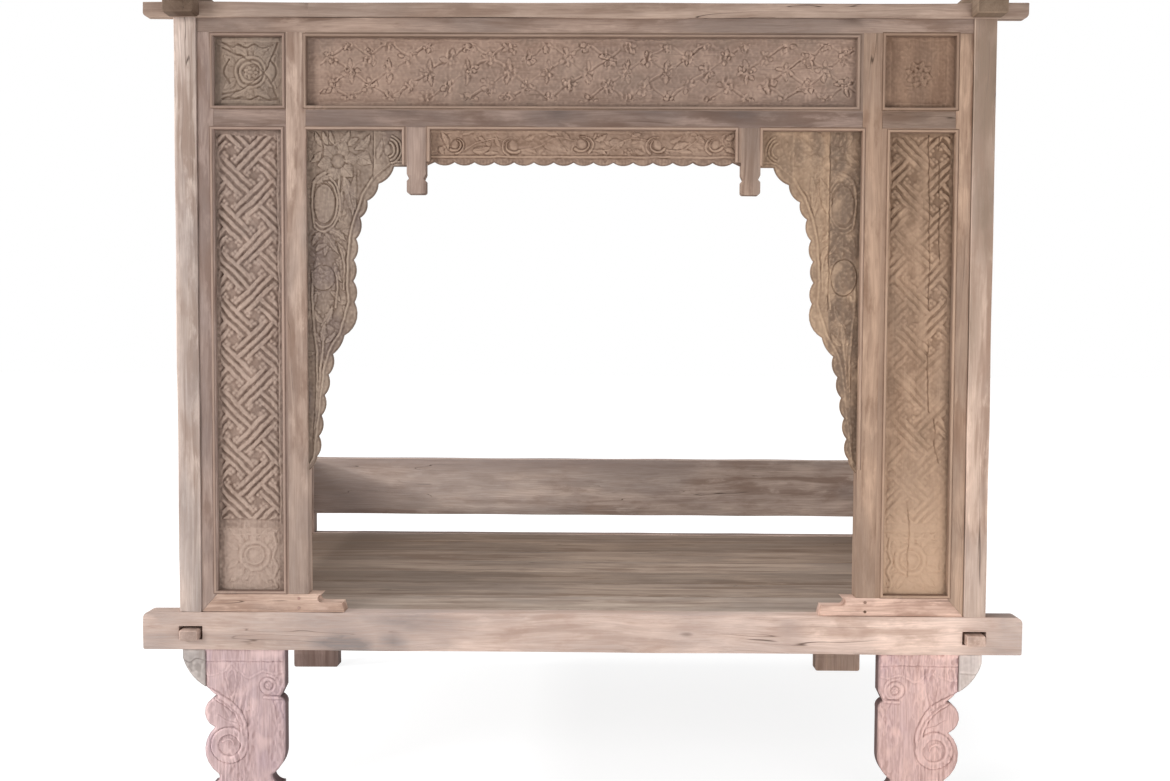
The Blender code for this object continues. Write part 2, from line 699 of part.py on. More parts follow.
def panel(name, members, span_x, span_z):
    """A board let into grooves all round; the spans are the clear opening."""
    low, high = ordered((span_x[0], panel_front, span_z[0]), (span_x[1], panel_back, span_z[1]))
    low = [low[0] - GROOVE_DEPTH + FIT_GAP, low[1], low[2] - GROOVE_DEPTH + FIT_GAP]
    high = [high[0] + GROOVE_DEPTH - FIT_GAP, high[1], high[2] + GROOVE_DEPTH - FIT_GAP]
    groove(members, low, high)
    block(name, low, high, "carved")


def build_panels(frame):
    """The five flat carved panels that float in the frame."""
    corner = (mid_rail_top, top_rail_bottom)
    for word, side in SIDES:
        part = frame[word]
        span = (side * inner_stile_outer, side * outer_stile_inner)
        panel(word + "_corner_panel", [frame["top"], part["outer"], part["inner"], part["mid"]], span, corner)
        panel(word + "_tall_panel", [part["outer"], part["inner"], part["mid"], part["shoe"]],
              span, (shoe_top, mid_rail_bottom))
    panel("frieze_panel", [frame["top"], frame["centre"], frame["left"]["inner"], frame["right"]["inner"]],
          (-inner_stile_inner, inner_stile_inner), corner)


def pendant_outline():
    """A hanging post on the right: a straight shank, a waist groove and a rounded end block."""
    waist_low = pendant_bottom + PENDANT_BLOCK
    waist = waist_low + PENDANT_LIP
    waist_high = waist + PENDANT_TAPER
    r = PENDANT_CORNER
    swell = corner_swell(r)
    top = mid_rail_bottom - FIT_GAP
    left, right = pendant_inner, pendant_outer
    return path((left + r, pendant_bottom), (
        (right - r, pendant_bottom, 0), (right, pendant_bottom + r, swell), (right, waist_low, 0),
        (right - PENDANT_WAIST_DEPTH, waist, 0), (right, waist_high, 0),
        (right, top, 0), (left, top, 0), (left, waist_high, 0),
        (left + PENDANT_WAIST_DEPTH, waist, 0), (left, waist_low, 0),
        (left, pendant_bottom + r, 0), (left + r, pendant_bottom, swell),
    ))


def spandrel_edge():
    """Lobes of the right spandrel's edge, from the pendant down to the stile: end notch and swell of each."""
    knots = [*SPANDREL_KNOTS, (0.0, SPANDREL_DROP, 1, 0.0, SPANDREL_TIP_SWELL)]
    reach0, drop0 = SPANDREL_WIDTH - SPANDREL_FLAT, SPANDREL_HEAD
    edge = [(inner_stile_inner - reach0, mid_rail_bottom - drop0, 0)]
    for reach1, drop1, lobes, bend, swell in knots:
        for number in range(1, lobes + 1):
            t = number / lobes
            reach = reach0 + (reach1 - reach0) * t + 4 * bend * t * (1 - t)
            drop = drop0 + (drop1 - drop0) * t
            edge.append((inner_stile_inner - reach, mid_rail_bottom - drop, swell))
        reach0, drop0 = reach1, drop1
    return edge


def spandrel_outline():
    """The right spandrel, with a tongue into the mid rail, the stile and the pendant."""
    tongue = GROOVE_DEPTH - FIT_GAP
    head = mid_rail_bottom - SPANDREL_HEAD
    toe = mid_rail_bottom - SPANDREL_DROP
    outer, inner, top = inner_stile_inner + tongue, pendant_outer - tongue, mid_rail_bottom + tongue
    return path((inner, head), (
        *spandrel_edge(), (outer, toe, 0), (outer, top, 0), (inner, top, 0),
    ))


def apron_outline():
    """The apron between the pendants, with a row of scallops along its foot."""
    tongue = GROOVE_DEPTH - FIT_GAP
    end, top, foot = pendant_inner + tongue, mid_rail_bottom + tongue, mid_rail_bottom - APRON_DROP
    row = pendant_inner - SCALLOP_MARGIN
    low = foot - SCALLOP_DEPTH
    count = max(1, round(2 * row / SCALLOP_WIDTH))
    scallops = [(-row + 2 * row * n / count, foot, SCALLOP_DEPTH) for n in range(1, count + 1)]
    return path((-end, low), (
        (-pendant_inner, low, 0), (-row, foot, 0), *scallops,
        (pendant_inner, low, 0), (end, low, 0), (end, top, 0), (-end, top, 0),
    ))


def build_hangings(frame):
    """Pendants, spandrels and apron under the centre rail."""
    rail = frame["centre"]
    head = mid_rail_bottom - SPANDREL_HEAD
    foot = mid_rail_bottom - APRON_DROP - SCALLOP_DEPTH
    toe = mid_rail_bottom - SPANDREL_DROP
    tongue = GROOVE_DEPTH - FIT_GAP
    top = mid_rail_bottom + tongue
    inset = GROOVE_DEPTH + FRAME_TENON_MARGIN
    groove([rail], (-pendant_inner - tongue, panel_front, foot), (pendant_inner + tongue, panel_back, top))
    for word, side in SIDES:
        pendant = plank(word + "_pendant", mirrored(pendant_outline(), side),
                        screen_front, screen_front + PENDANT_THICK, "frame")
        frame_tenon(pendant, [rail], (side * (pendant_inner + inset), side * (pendant_outer - inset)),
                    (mid_rail_bottom - TENON_SINK, mid_rail_bottom + FRAME_TENON))
        groove([pendant], (side * (pendant_inner - tongue), panel_front, foot),
               (side * (pendant_inner + tongue), panel_back, top))
        groove([pendant], (side * (pendant_outer - tongue), panel_front, head),
               (side * (pendant_outer + tongue), panel_back, top))
        groove([rail], (side * (pendant_outer - tongue), panel_front, head),
               (side * (inner_stile_inner + tongue), panel_back, top))
        groove([frame[word]["inner"]], (side * (inner_stile_inner - tongue), panel_front, toe),
               (side * (inner_stile_inner + tongue), panel_back, top))
        plank(word + "_spandrel", mirrored(spandrel_outline(), side), panel_front, panel_back, "carved")
    plank("apron_panel", apron_outline(), panel_front, panel_back, "carved")


def main():
    front_rail, back_rail = build_base()
    build_legs(front_rail, back_rail)
    posts = build_canopy(front_rail, back_rail)
    frame = build_frame(front_rail, posts)
    build_panels(frame)
    build_hangings(frame)


main()
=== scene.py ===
import math

import bmesh
import bpy
import numpy as np
from mathutils import Matrix, Vector, geometry


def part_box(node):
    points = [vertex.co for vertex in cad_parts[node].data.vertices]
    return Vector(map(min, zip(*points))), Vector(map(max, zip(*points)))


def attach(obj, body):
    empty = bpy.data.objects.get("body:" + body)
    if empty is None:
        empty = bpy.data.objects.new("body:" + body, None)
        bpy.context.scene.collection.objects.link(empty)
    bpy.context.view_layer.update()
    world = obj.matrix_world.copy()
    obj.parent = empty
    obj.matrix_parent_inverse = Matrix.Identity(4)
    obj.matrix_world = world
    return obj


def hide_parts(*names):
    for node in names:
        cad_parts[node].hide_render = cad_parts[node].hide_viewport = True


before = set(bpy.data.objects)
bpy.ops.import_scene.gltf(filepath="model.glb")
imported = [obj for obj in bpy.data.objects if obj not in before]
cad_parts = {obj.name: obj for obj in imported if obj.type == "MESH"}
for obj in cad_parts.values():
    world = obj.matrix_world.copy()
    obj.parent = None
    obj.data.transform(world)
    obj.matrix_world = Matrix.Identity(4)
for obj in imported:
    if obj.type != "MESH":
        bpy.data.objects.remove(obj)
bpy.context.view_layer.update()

print("frame loaded:", len(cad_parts), "pieces of timber")


# Small helpers for the shader trees

def paint(red, green, blue):
    # a colour as read off a picture, 0 to 255, as the shader wants it
    shares = [value / 255 for value in (red, green, blue)]
    return [s / 12.92 if s <= 0.04045 else ((s + 0.055) / 1.055) ** 2.4 for s in shares] + [1.0]


def tinted(colour, factors):
    return [min(1.0, value * factor) for value, factor in zip(colour[:3], factors)] + [1.0]


def fill(tree, socket, value):
    if isinstance(value, bpy.types.NodeSocket):
        tree.links.new(value, socket)
    else:
        socket.default_value = value


def put(tree, kind, inputs=None, **settings):
    made = tree.nodes.new(kind)
    for key, value in settings.items():
        setattr(made, key, value)
    for key, value in (inputs or {}).items():
        fill(tree, made.inputs[key], value)
    return made


def calc(tree, operation, *values):
    return put(tree, "ShaderNodeMath", dict(enumerate(values)), operation=operation).outputs[0]


def vectorCalc(tree, operation, *values, output="Vector"):
    return put(tree, "ShaderNodeVectorMath", dict(enumerate(values)), operation=operation).outputs[output]


def noise(tree, vector, size, detail=2.0, rough=0.5):
    # size says how many spots there are to the metre along each axis
    spread = vectorCalc(tree, "MULTIPLY", vector, size)
    inputs = {"Vector": spread, "Scale": 1.0, "Detail": detail, "Roughness": rough}
    return put(tree, "ShaderNodeTexNoise", inputs).outputs


def between(tree, value, low, high, toLow=0.0, toHigh=1.0):
    inputs = {"Value": value, "From Min": low, "From Max": high, "To Min": toLow, "To Max": toHigh}
    return put(tree, "ShaderNodeMapRange", inputs, interpolation_type="SMOOTHSTEP").outputs[0]


def blend(tree, share, first, second):
    return put(tree, "ShaderNodeMix", {0: share, 6: first, 7: second}, data_type="RGBA").outputs[2]


def reading(tree, name, output):
    return put(tree, "ShaderNodeAttribute", attribute_name=name).outputs[output]


def newGroup(name, inputs, outputs):
    tree = bpy.data.node_groups.new(name, "ShaderNodeTree")
    for label, value in inputs.items():
        kind = "NodeSocketFloat" if isinstance(value, float) else "NodeSocketColor"
        socket = tree.interface.new_socket(name=label, in_out="INPUT", socket_type=kind)
        socket.default_value = value
    for label in outputs:
        kind = "NodeSocketColor" if label == "Color" else "NodeSocketFloat"
        tree.interface.new_socket(name=label, in_out="OUTPUT", socket_type=kind)
    return tree, tree.nodes.new("NodeGroupInput").outputs, tree.nodes.new("NodeGroupOutput").inputs


# Shader groups that the finishes share

grainLook = {
    # spots to the metre, along the fibre and the two ways across it
    "warpSize": (2.1, 8.0, 8.0), "streakSize": (1.8, 32.0, 32.0), "fibreSize": (11.0, 360.0, 360.0),
    "checkSize": (0.6, 46.0, 46.0), "checkPatch": (2.2, 16.0, 16.0), "patchSize": (2.4, 7.0, 7.0),
    "blotchSize": (8.0, 24.0, 24.0), "scratchSize": (2.4, 210.0, 210.0), "knotSize": (3.0, 9.0, 9.0),
    "dustSize": (60.0, 60.0, 60.0),
    "warp": 0.044,          # slow bend of the fibres, metres
    "ringPitch": 82.0,      # growth rings to the metre
    "checkWidth": 0.0075,   # drying cracks
    "knot": 0.085,
}
timberInputs = {
    "Tone": (0.5, 0.4, 0.33, 1), "Dark": (0.3, 0.2, 0.15, 1), "Pale": (0.6, 0.5, 0.45, 1),
    "Grey": (0.35, 0.3, 0.28, 1), "Stain And Shade": (0.3, 0.26, 0.24, 1), "Ring Amount": 0.3, "Streak Amount": 0.4,
    "Fibre Amount": 0.25, "Grey Amount": 0.35, "Crack Amount": 0.5, "Wear Amount": 0.35, "Blotch Amount": 0.4,
    "Scratch Amount": 0.0,
}
chiselInputs = {
    "Color": (0.4, 0.3, 0.25, 1), "Dirt And Shade": (0.1, 0.06, 0.04, 1), "Rub And Highlight": (0.6, 0.5, 0.42, 1),
    "Dirt And Shade Amount": 0.7, "Rub And Highlight Amount": 0.35,
}
sootColour = (0.03, 0.02, 0.015, 1)


def makeGrainGroup():
    labels = ("Rings", "Streaks", "Fibres", "Cracks", "Patches", "Blotches", "Scratches", "Height")
    tree, given, result = newGroup("longGrain", {"Crack Amount": 0.5}, labels)
    look = grainLook
    grain = reading(tree, "grain", "Vector")
    drift = vectorCalc(tree, "SUBTRACT", noise(tree, grain, look["warpSize"])["Color"], (0.5, 0.5, 0.5))
    drift = vectorCalc(tree, "MULTIPLY", drift, (0.0, look["warp"], look["warp"]))
    bent = vectorCalc(tree, "ADD", grain, drift)
    radial = vectorCalc(tree, "MULTIPLY", bent, (0.0, 1.0, 1.0))
    radius = vectorCalc(tree, "LENGTH", radial, output="Value")
    rings = put(tree, "ShaderNodeTexNoise", {"W": radius, "Scale": look["ringPitch"], "Detail": 2.0,
                                             "Roughness": 0.6}, noise_dimensions="1D").outputs["Fac"]
    rings = between(tree, rings, 0.32, 0.68)
    streaks = between(tree, noise(tree, bent, look["streakSize"], 3.0, 0.6)["Fac"], 0.34, 0.68)
    fibres = between(tree, noise(tree, bent, look["fibreSize"], 2.0, 0.6)["Fac"], 0.3, 0.7)
    patches = between(tree, noise(tree, grain, look["patchSize"], 3.0, 0.55)["Fac"], 0.42, 0.62)
    split = noise(tree, bent, look["checkSize"], 1.0, 0.4)["Fac"]
    line = calc(tree, "ABSOLUTE", calc(tree, "SUBTRACT", split, 0.5))
    cracks = between(tree, line, 0.0, look["checkWidth"], 1.0, 0.0)
    where = between(tree, noise(tree, grain, look["checkPatch"], 1.0)["Fac"], 0.5, 0.62)
    cracks = calc(tree, "MULTIPLY", calc(tree, "MULTIPLY", cracks, where), given["Crack Amount"])
    spread = vectorCalc(tree, "MULTIPLY", grain, look["knotSize"])
    spots = put(tree, "ShaderNodeTexVoronoi", {"Vector": spread, "Scale": 1.0}).outputs
    knots = between(tree, spots["Distance"], look["knot"] * 0.5, look["knot"], 1.0, 0.0)
    chosen = put(tree, "ShaderNodeSeparateColor", {"Color": spots["Color"]}).outputs["Red"]
    chosen = between(tree, chosen, 0.7, 1.0, 0.0, 0.6)
    knots = calc(tree, "MULTIPLY", knots, calc(tree, "MULTIPLY", given["Crack Amount"], chosen))
    cracks = calc(tree, "MAXIMUM", cracks, knots)
    blotches = noise(tree, bent, look["blotchSize"], 5.0, 0.62)["Fac"]
    scratches = between(tree, noise(tree, bent, look["scratchSize"])["Fac"], 0.62, 0.72)
    height = calc(tree, "MULTIPLY_ADD", fibres, 0.35, calc(tree, "MULTIPLY", rings, 0.45))
    height = calc(tree, "SUBTRACT", height, cracks)
    for label, value in zip(labels, (rings, streaks, fibres, cracks, patches, blotches, scratches, height)):
        fill(tree, result[label], value)
    return tree


def makeBleachGroup(grainNodes):
    tree, given, result = newGroup("bleachedTimber", timberInputs, ("Color", "Roughness", "Height"))
    mask = put(tree, "ShaderNodeGroup", {"Crack Amount": given["Crack Amount"]}, node_tree=grainNodes).outputs
    worn = reading(tree, "worn", "Fac")
    layers = [
        (mask["Rings"], "Ring Amount", "Dark"),
        (between(tree, mask["Streaks"], 0.55, 1.0), "Streak Amount", "Pale"),
        (between(tree, mask["Streaks"], 0.45, 0.0), "Streak Amount", "Dark"),
        (between(tree, mask["Blotches"], 0.5, 0.68), "Blotch Amount", "Pale"),
        (between(tree, mask["Blotches"], 0.5, 0.32, 0.0, 0.7), "Blotch Amount", "Dark"),
        (mask["Scratches"], "Scratch Amount", "Pale"),
        (mask["Patches"], "Grey Amount", "Grey"),
    ]
    finish = [
        (calc(tree, "SUBTRACT", 1.0, mask["Fibres"]), "Fibre Amount", "Dark"),
        (worn, "Wear Amount", "Pale"),
    ]

    def layered(colour, steps):
        for share, amount, tint in steps:
            colour = blend(tree, calc(tree, "MULTIPLY", share, given[amount]), colour, given[tint])
        return colour

    mottled = between(tree, mask["Blotches"], 0.3, 0.6, 0.55, 1.1)
    # the stain mask also carries painted shade on some timbers
    stain = calc(tree, "MINIMUM", calc(tree, "MULTIPLY", reading(tree, "stain", "Fac"), mottled), 1.0)
    colour = blend(tree, stain, layered(given["Tone"], layers), given["Stain And Shade"])
    soot = blend(tree, 0.75, given["Dark"], sootColour)
    colour = blend(tree, mask["Cracks"], layered(colour, finish), soot)
    rough = calc(tree, "MULTIPLY_ADD", mask["Fibres"], 0.12, 0.74)
    rough = calc(tree, "SUBTRACT", rough, calc(tree, "MULTIPLY", worn, 0.08))
    for label, value in (("Color", colour), ("Roughness", rough), ("Height", mask["Height"])):
        fill(tree, result[label], value)
    return tree


def makeChiselGroup():
    # darkens the hollows with dirt and painted shade, and lightens the ridges with wear and a painted
    # highlight
    tree, given, result = newGroup("chiselled", chiselInputs, ("Color",))
    dust = noise(tree, reading(tree, "grain", "Vector"), grainLook["dustSize"], 3.0)["Fac"]
    dust = between(tree, dust, 0.3, 0.65, 0.72, 1.0)
    dirtAndShade = calc(tree, "MULTIPLY", reading(tree, "hollow", "Fac"), dust)
    dirtAndShade = calc(tree, "MULTIPLY", dirtAndShade, given["Dirt And Shade Amount"])
    # the lighter ridges are partly a painted highlight
    rubbed = calc(tree, "MULTIPLY", reading(tree, "ridge", "Fac"), given["Rub And Highlight Amount"])
    colour = blend(tree, rubbed, given["Color"], given["Rub And Highlight"])
    fill(tree, result["Color"], blend(tree, dirtAndShade, colour, given["Dirt And Shade"]))
    return tree


bleachTree = makeBleachGroup(makeGrainGroup())
chiselTree = makeChiselGroup()

plainLook = {
    "ring": 0.22, "streak": 0.55, "fibre": 0.34, "grey": 0.5, "crack": 0.9, "wear": 0.4, "blotch": 0.5,
    "scratch": 0.0, "dark": (0.50, 0.43, 0.39), "pale": (1.25, 1.26, 1.26), "greyTint": (0.66, 0.70, 0.75),
    "stainTint": (0.60, 0.64, 0.70), "bump": 0.45, "bumpHeight": 0.0012, "gloss": 0.22,
}
carvedGrain = {
    "ring": 0.12, "streak": 0.3, "fibre": 0.24, "blotch": 0.45, "crack": 0.3, "wear": 0.6,
    "stainTint": (0.70, 0.70, 0.72),
}
# carved finish: hollows darker with dirt and painted shade, ridges paler with wear and a painted highlight
carvedLook = {"dirtShadeTint": (0.30, 0.23, 0.19), "rubHighlightTint": (1.38, 1.39, 1.38), "dirtAndShade": 0.95, "rubAndHighlight": 0.75}


def makeWood(name, tone, carved=None, **changes):
    look = {**plainLook, **(carvedGrain if carved else {}), **changes}
    material = bpy.data.materials.new(name)
    material.use_nodes = True
    tree = material.node_tree
    shader = tree.nodes["Principled BSDF"]
    base = paint(*tone)
    inputs = {"Tone": base}
    for label, tint in (("Dark", "dark"), ("Pale", "pale"), ("Grey", "greyTint"), ("Stain And Shade", "stainTint")):
        inputs[label] = tinted(base, look[tint])
    for part in ("ring", "streak", "fibre", "grey", "crack", "wear", "blotch", "scratch"):
        inputs[part.title() + " Amount"] = look[part]
    wood = put(tree, "ShaderNodeGroup", inputs, node_tree=bleachTree).outputs
    colour = wood["Color"]
    if carved:
        inputs = {"Color": colour, "Dirt And Shade": tinted(base, carved["dirtShadeTint"]), "Dirt And Shade Amount": carved["dirtAndShade"],
                  "Rub And Highlight": tinted(base, carved["rubHighlightTint"]), "Rub And Highlight Amount": carved["rubAndHighlight"]}
        colour = put(tree, "ShaderNodeGroup", inputs, node_tree=chiselTree).outputs["Color"]
    inputs = {"Strength": look["bump"], "Distance": look["bumpHeight"], "Height": wood["Height"]}
    bump = put(tree, "ShaderNodeBump", inputs)
    fill(tree, shader.inputs["Base Color"], colour)
    fill(tree, shader.inputs["Roughness"], wood["Roughness"])
    fill(tree, shader.inputs["Normal"], bump.outputs["Normal"])
    shader.inputs["Specular IOR Level"].default_value = look["gloss"]
    return material


print("shader groups ready")


# Working a plain timber: the true solid gets round arrises, slight planing waves and a grain direction

timberWork = {
    "weld": 1e-5, "flat": math.radians(0.4), "sharp": math.radians(28), "smooth": math.radians(32),
    "leastEdge": 0.010, "cutSpacing": 0.045,
    "wave": 0.0007, "waveLength": 0.32, "waveAcross": 0.09,   # planing waves
    "nick": 0.0011, "nickSize": 0.06,                         # bruises on the arrises
}


def cleanCopy(nodeName):
    mesh = bmesh.new()
    mesh.from_mesh(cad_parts[nodeName].data)
    bmesh.ops.remove_doubles(mesh, verts=mesh.verts[:], dist=timberWork["weld"])
    bmesh.ops.dissolve_limit(mesh, angle_limit=timberWork["flat"], verts=mesh.verts[:], edges=mesh.edges[:])
    return mesh


def roundArrises(mesh, width):
    worn = mesh.verts.layers.float.new("worn")
    sharp, least = timberWork["sharp"], timberWork["leastEdge"]
    edges = [edge for edge in mesh.edges if edge.is_manifold and edge.is_convex
             and edge.calc_face_angle(0.0) > sharp and edge.calc_length() > least]
    made = bmesh.ops.bevel(mesh, geom=edges, offset=width, offset_type="OFFSET", segments=3, profile=0.5,
                           affect="EDGES", clamp_overlap=True)
    rounded = set(made["faces"])
    for vert in mesh.verts:
        if vert.link_faces and all(face in rounded for face in vert.link_faces):
            vert[worn] = 1.0


def cutAcross(mesh, axis, low, high, spacing):
    count = max(1, round((high - low) / spacing))
    normal = [1.0 if i == axis else 0.0 for i in range(3)]
    for step in range(1, count):
        at = low + (high - low) * step / count
        bmesh.ops.bisect_plane(mesh, geom=mesh.verts[:] + mesh.edges[:] + mesh.faces[:], dist=1e-6,
                               plane_co=[at * value for value in normal], plane_no=normal)


def ripple(points, seed, lengths):
    # a smooth wandering value, about -1 to 1, from a few seeded waves
    draw = np.random.default_rng(seed)
    total = np.zeros(len(points))
    for _ in range(6):
        wave = draw.uniform(-1, 1, 3) * 2 * math.pi / np.array(lengths)
        total += np.sin(points @ wave + draw.uniform(0, 2 * math.pi))
    return total / 3


def seedOf(name):
    return sum((place + 1) * ord(letter) for place, letter in enumerate(name))


def setValues(piece, name, values, kind="FLOAT"):
    layer = piece.data.attributes.get(name) or piece.data.attributes.new(name, kind, "POINT")
    field = "vector" if kind == "FLOAT_VECTOR" else "value"
    layer.data.foreach_set(field, np.ascontiguousarray(values, dtype=np.float32).ravel())


def setGrain(piece, axis, seed):
    # along the fibre first, then the two ways across, measured from a pith somewhere outside the timber
    points = np.array([vert.co for vert in piece.data.vertices])
    draw = np.random.default_rng(seed)
    turn = draw.uniform(0, 2 * math.pi)
    away = draw.uniform(0.03, 0.11)
    order = [axis] + [i for i in range(3) if i != axis]
    middle = (points.min(0) + points.max(0)) / 2
    grain = (points - middle)[:, order] + [draw.uniform(0, 40), away * math.cos(turn), away * math.sin(turn)]
    setValues(piece, "grain", grain, "FLOAT_VECTOR")


def place(piece, material, slot, *nodes):
    piece.data.materials.append(material)
    bpy.context.scene.collection.objects.link(piece)
    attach(piece, "root")
    if nodes:
        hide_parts(*nodes)


def finished(data, angle):
    data.shade_smooth()
    data.set_sharp_from_angle(angle=angle)
    return bpy.data.objects.new(data.name, data)


def newPiece(name, spots, faces, angle):
    data = bpy.data.meshes.new(name)
    data.from_pydata(spots, [], faces)
    mesh = bmesh.new()
    mesh.from_mesh(data)
    bmesh.ops.recalc_face_normals(mesh, faces=mesh.faces[:])
    mesh.to_mesh(data)
    mesh.free()
    return finished(data, angle)


def blots(u, w, stainsAndShade):
    # soft stains, some of them painted shade: where, how wide and tall, and how dark
    total = np.zeros(u.shape)
    for atU, atW, wide, tall, share in stainsAndShade:
        away = ((u - atU) / wide) ** 2 + ((w - atW) / tall) ** 2
        total = np.maximum(total, share * np.exp(-away))
    return total


def workTimber(nodeName, material, slot, stainsAndShade=(), arris=0.0025, axis=None, across=None,
               wave=timberWork["wave"], nick=timberWork["nick"]):
    low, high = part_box(nodeName)
    size = high - low
    if axis is None:
        axis = max(range(3), key=lambda i: size[i])
    seed = seedOf(nodeName)
    mesh = cleanCopy(nodeName)
    roundArrises(mesh, arris)
    cutAcross(mesh, axis, low[axis], high[axis], timberWork["cutSpacing"])
    if across:
        side = max((i for i in range(3) if i != axis), key=lambda i: size[i])
        cutAcross(mesh, side, low[side], high[side], across)
    mesh.normal_update()
    points = np.array([vert.co for vert in mesh.verts])
    normals = np.array([vert.normal for vert in mesh.verts])
    layer = mesh.verts.layers.float["worn"]
    worn = np.array([vert[layer] for vert in mesh.verts])
    lengths = [timberWork["waveLength"] if i == axis else timberWork["waveAcross"] for i in range(3)]
    shift = ripple(points, seed, lengths) * wave
    chips = np.clip(ripple(points, seed + 1, [timberWork["nickSize"]] * 3) - 0.2, 0, 1) * nick
    moved = points + normals * (shift - worn * chips)[:, None]
    for vert, spot in zip(mesh.verts, moved):
        vert.co = spot
    data = bpy.data.meshes.new(nodeName + "_worked")
    mesh.to_mesh(data)
    mesh.free()
    piece = finished(data, timberWork["smooth"])
    setGrain(piece, axis, seed)
    setValues(piece, "stain", blots(moved[:, 0], moved[:, 2], stainsAndShade))
    place(piece, material, slot, nodeName)


def workTimbers(kind):
    for nodeName, tone in kind["tones"].items():
        wood = makeWood(nodeName + "_wood", tone, **kind.get("look", {}))
        stainsAndShade = kind.get("stainsAndShade", {}).get(nodeName, ())
        workTimber(nodeName, wood, kind["slot"], stainsAndShade, **kind.get("work", {}))


# Bed rails, bearers and deck

railSet = {
    "slot": "frame_wood", "work": {"arris": 0.0035, "across": 0.018},
    "look": {"streak": 0.5, "ring": 0.16, "grey": 0.6, "blotch": 0.75, "stainTint": (0.34, 0.39, 0.44)},
    "tones": {"front_bed_rail": (225, 198, 183), "back_bed_rail": (186, 162, 149),
              "left_side_rail": (190, 164, 150), "right_side_rail": (196, 169, 154)},
    # each stain: x, z, half width, half height, how dark; the broad ones as tall as the rail, over its left,
    # middle and ends, are painted shade
    "stainsAndShade": {"front_bed_rail": [
        (-0.595, 0.392, 0.075, 0.036, 1.6), (-0.47, 0.405, 0.05, 0.025, 0.9), (-0.42, 0.455, 0.14, 0.03, 0.9),
        (-0.62, 0.445, 0.09, 0.03, 0.45), (-0.34, 0.40, 0.05, 0.02, 0.5), (-0.70, 0.43, 0.40, 0.2, 0.50),
        (0.0, 0.43, 0.45, 0.2, 0.36), (-1.09, 0.43, 0.12, 0.2, 0.52), (1.06, 0.44, 0.10, 0.2, 0.58),
        (0.09, 0.409, 0.02, 0.012, 1.0), (0.515, 0.447, 0.03, 0.01, 1.0), (0.30, 0.46, 0.10, 0.012, 0.4),
        (-0.05, 0.40, 0.08, 0.012, 0.35)]},
}
bearerSet = {
    "slot": "deck_wood",
    "tones": dict.fromkeys(("bearer_left", "bearer_middle", "bearer_right"), (140, 116, 102)),
}
deckSet = {
    "near": (195, 179, 166), "far": (128, 109, 94), "fade": 0.37, "spread": 12, "boards": 7,
    "look": {"streak": 0.85, "fibre": 0.5, "scratch": 0.8, "blotch": 0.6, "crack": 1.0,
             "stainTint": (0.40, 0.37, 0.34)},
    # painted shade at the back corners: x, z, half width and half height of the darkening at each end of the
    # boards, and how dark it is
    "leftEnd": (-0.86, 0.475, 0.24, 1.0), "rightEnd": (0.92, 0.475, 0.16, 1.0), "corner": 0.66,
}


def workDeck():
    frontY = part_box("deck_board_1")[0][1]
    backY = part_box(f"deck_board_{deckSet['boards']}")[1][1]
    corner = deckSet["corner"]
    for number in range(1, deckSet["boards"] + 1):
        boardName = f"deck_board_{number}"
        low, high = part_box(boardName)
        share = ((low[1] + high[1]) / 2 - frontY) / (backY - frontY)
        shade = np.random.default_rng(number).uniform(-1, 1) * deckSet["spread"]
        fade = share ** deckSet["fade"]
        tone = [front + (back - front) * fade + shade for front, back in zip(deckSet["near"], deckSet["far"])]
        wood = makeWood(boardName + "_wood", tone, **deckSet["look"])
        # painted shade at both ends, the right one deepening towards the back
        stainsAndShade = [(*deckSet["leftEnd"], corner), (*deckSet["rightEnd"], corner * share)]
        workTimber(boardName, wood, "deck_wood", stainsAndShade, arris=0.0022, across=0.04)


workTimbers(railSet)
workDeck()
workTimbers(bearerSet)
print("rails and deck worked")


# Posts and top beams

postSet = {
    "slot": "frame_wood", "work": {"arris": 0.0032, "across": 0.02},
    "look": {"grey": 0.6, "blotch": 0.85, "streak": 0.8, "stainTint": (0.44, 0.43, 0.40)},
    "tones": {"front_left_post": (200, 181, 170), "front_right_post": (205, 179, 162),
              "back_left_post": (176, 154, 142), "back_right_post": (176, 152, 138)},
    "stainsAndShade": {
        "front_left_post": [(-0.964, 1.86, 0.010, 0.10, 0.5), (-0.972, 1.70, 0.012, 0.14, 0.2),
                            (-0.98, 1.2, 0.02, 0.12, 0.3)],
        "front_right_post": [(0.975, 1.84, 0.06, 0.26, 1.3), (0.985, 1.50, 0.03, 0.18, 1.1),
                             (0.96, 1.25, 0.02, 0.18, 0.9)]},
}
beamSet = {
    "slot": "frame_wood", "work": {"arris": 0.004, "wave": 0.0016, "nick": 0.003},
    "look": {"grey": 0.45, "crack": 1.0},
    "tones": {"front_top_beam": (173, 150, 135), "back_top_beam": (160, 138, 123),
              "left_top_beam": (106, 87, 73), "right_top_beam": (138, 116, 97)},
}
workTimbers(postSet)
workTimbers(beamSet)
print("posts and beams worked")


# Low boards at the back and the sides

boardSet = {
    "slot": "deck_wood", "work": {"arris": 0.003, "across": 0.025},
    "look": {"grey": 0.6, "blotch": 0.85, "streak": 0.7, "stainTint": (0.54, 0.54, 0.57)},
    "tones": {"back_board": (189, 170, 158), "left_side_board": (150, 130, 118),
              "right_side_board": (150, 130, 118)},
    # the last back-board stain, low at the left, is painted shade deepening the side board's shadow
    "stainsAndShade": {"back_board": [(-0.3, 0.742, 0.9, 0.036, 1.2), (0.5, 0.60, 0.3, 0.03, 0.35),
                              (-0.84, 0.60, 0.24, 0.10, 0.86)]},
}
workTimbers(boardSet)
print("low boards worked")


# Screen frame

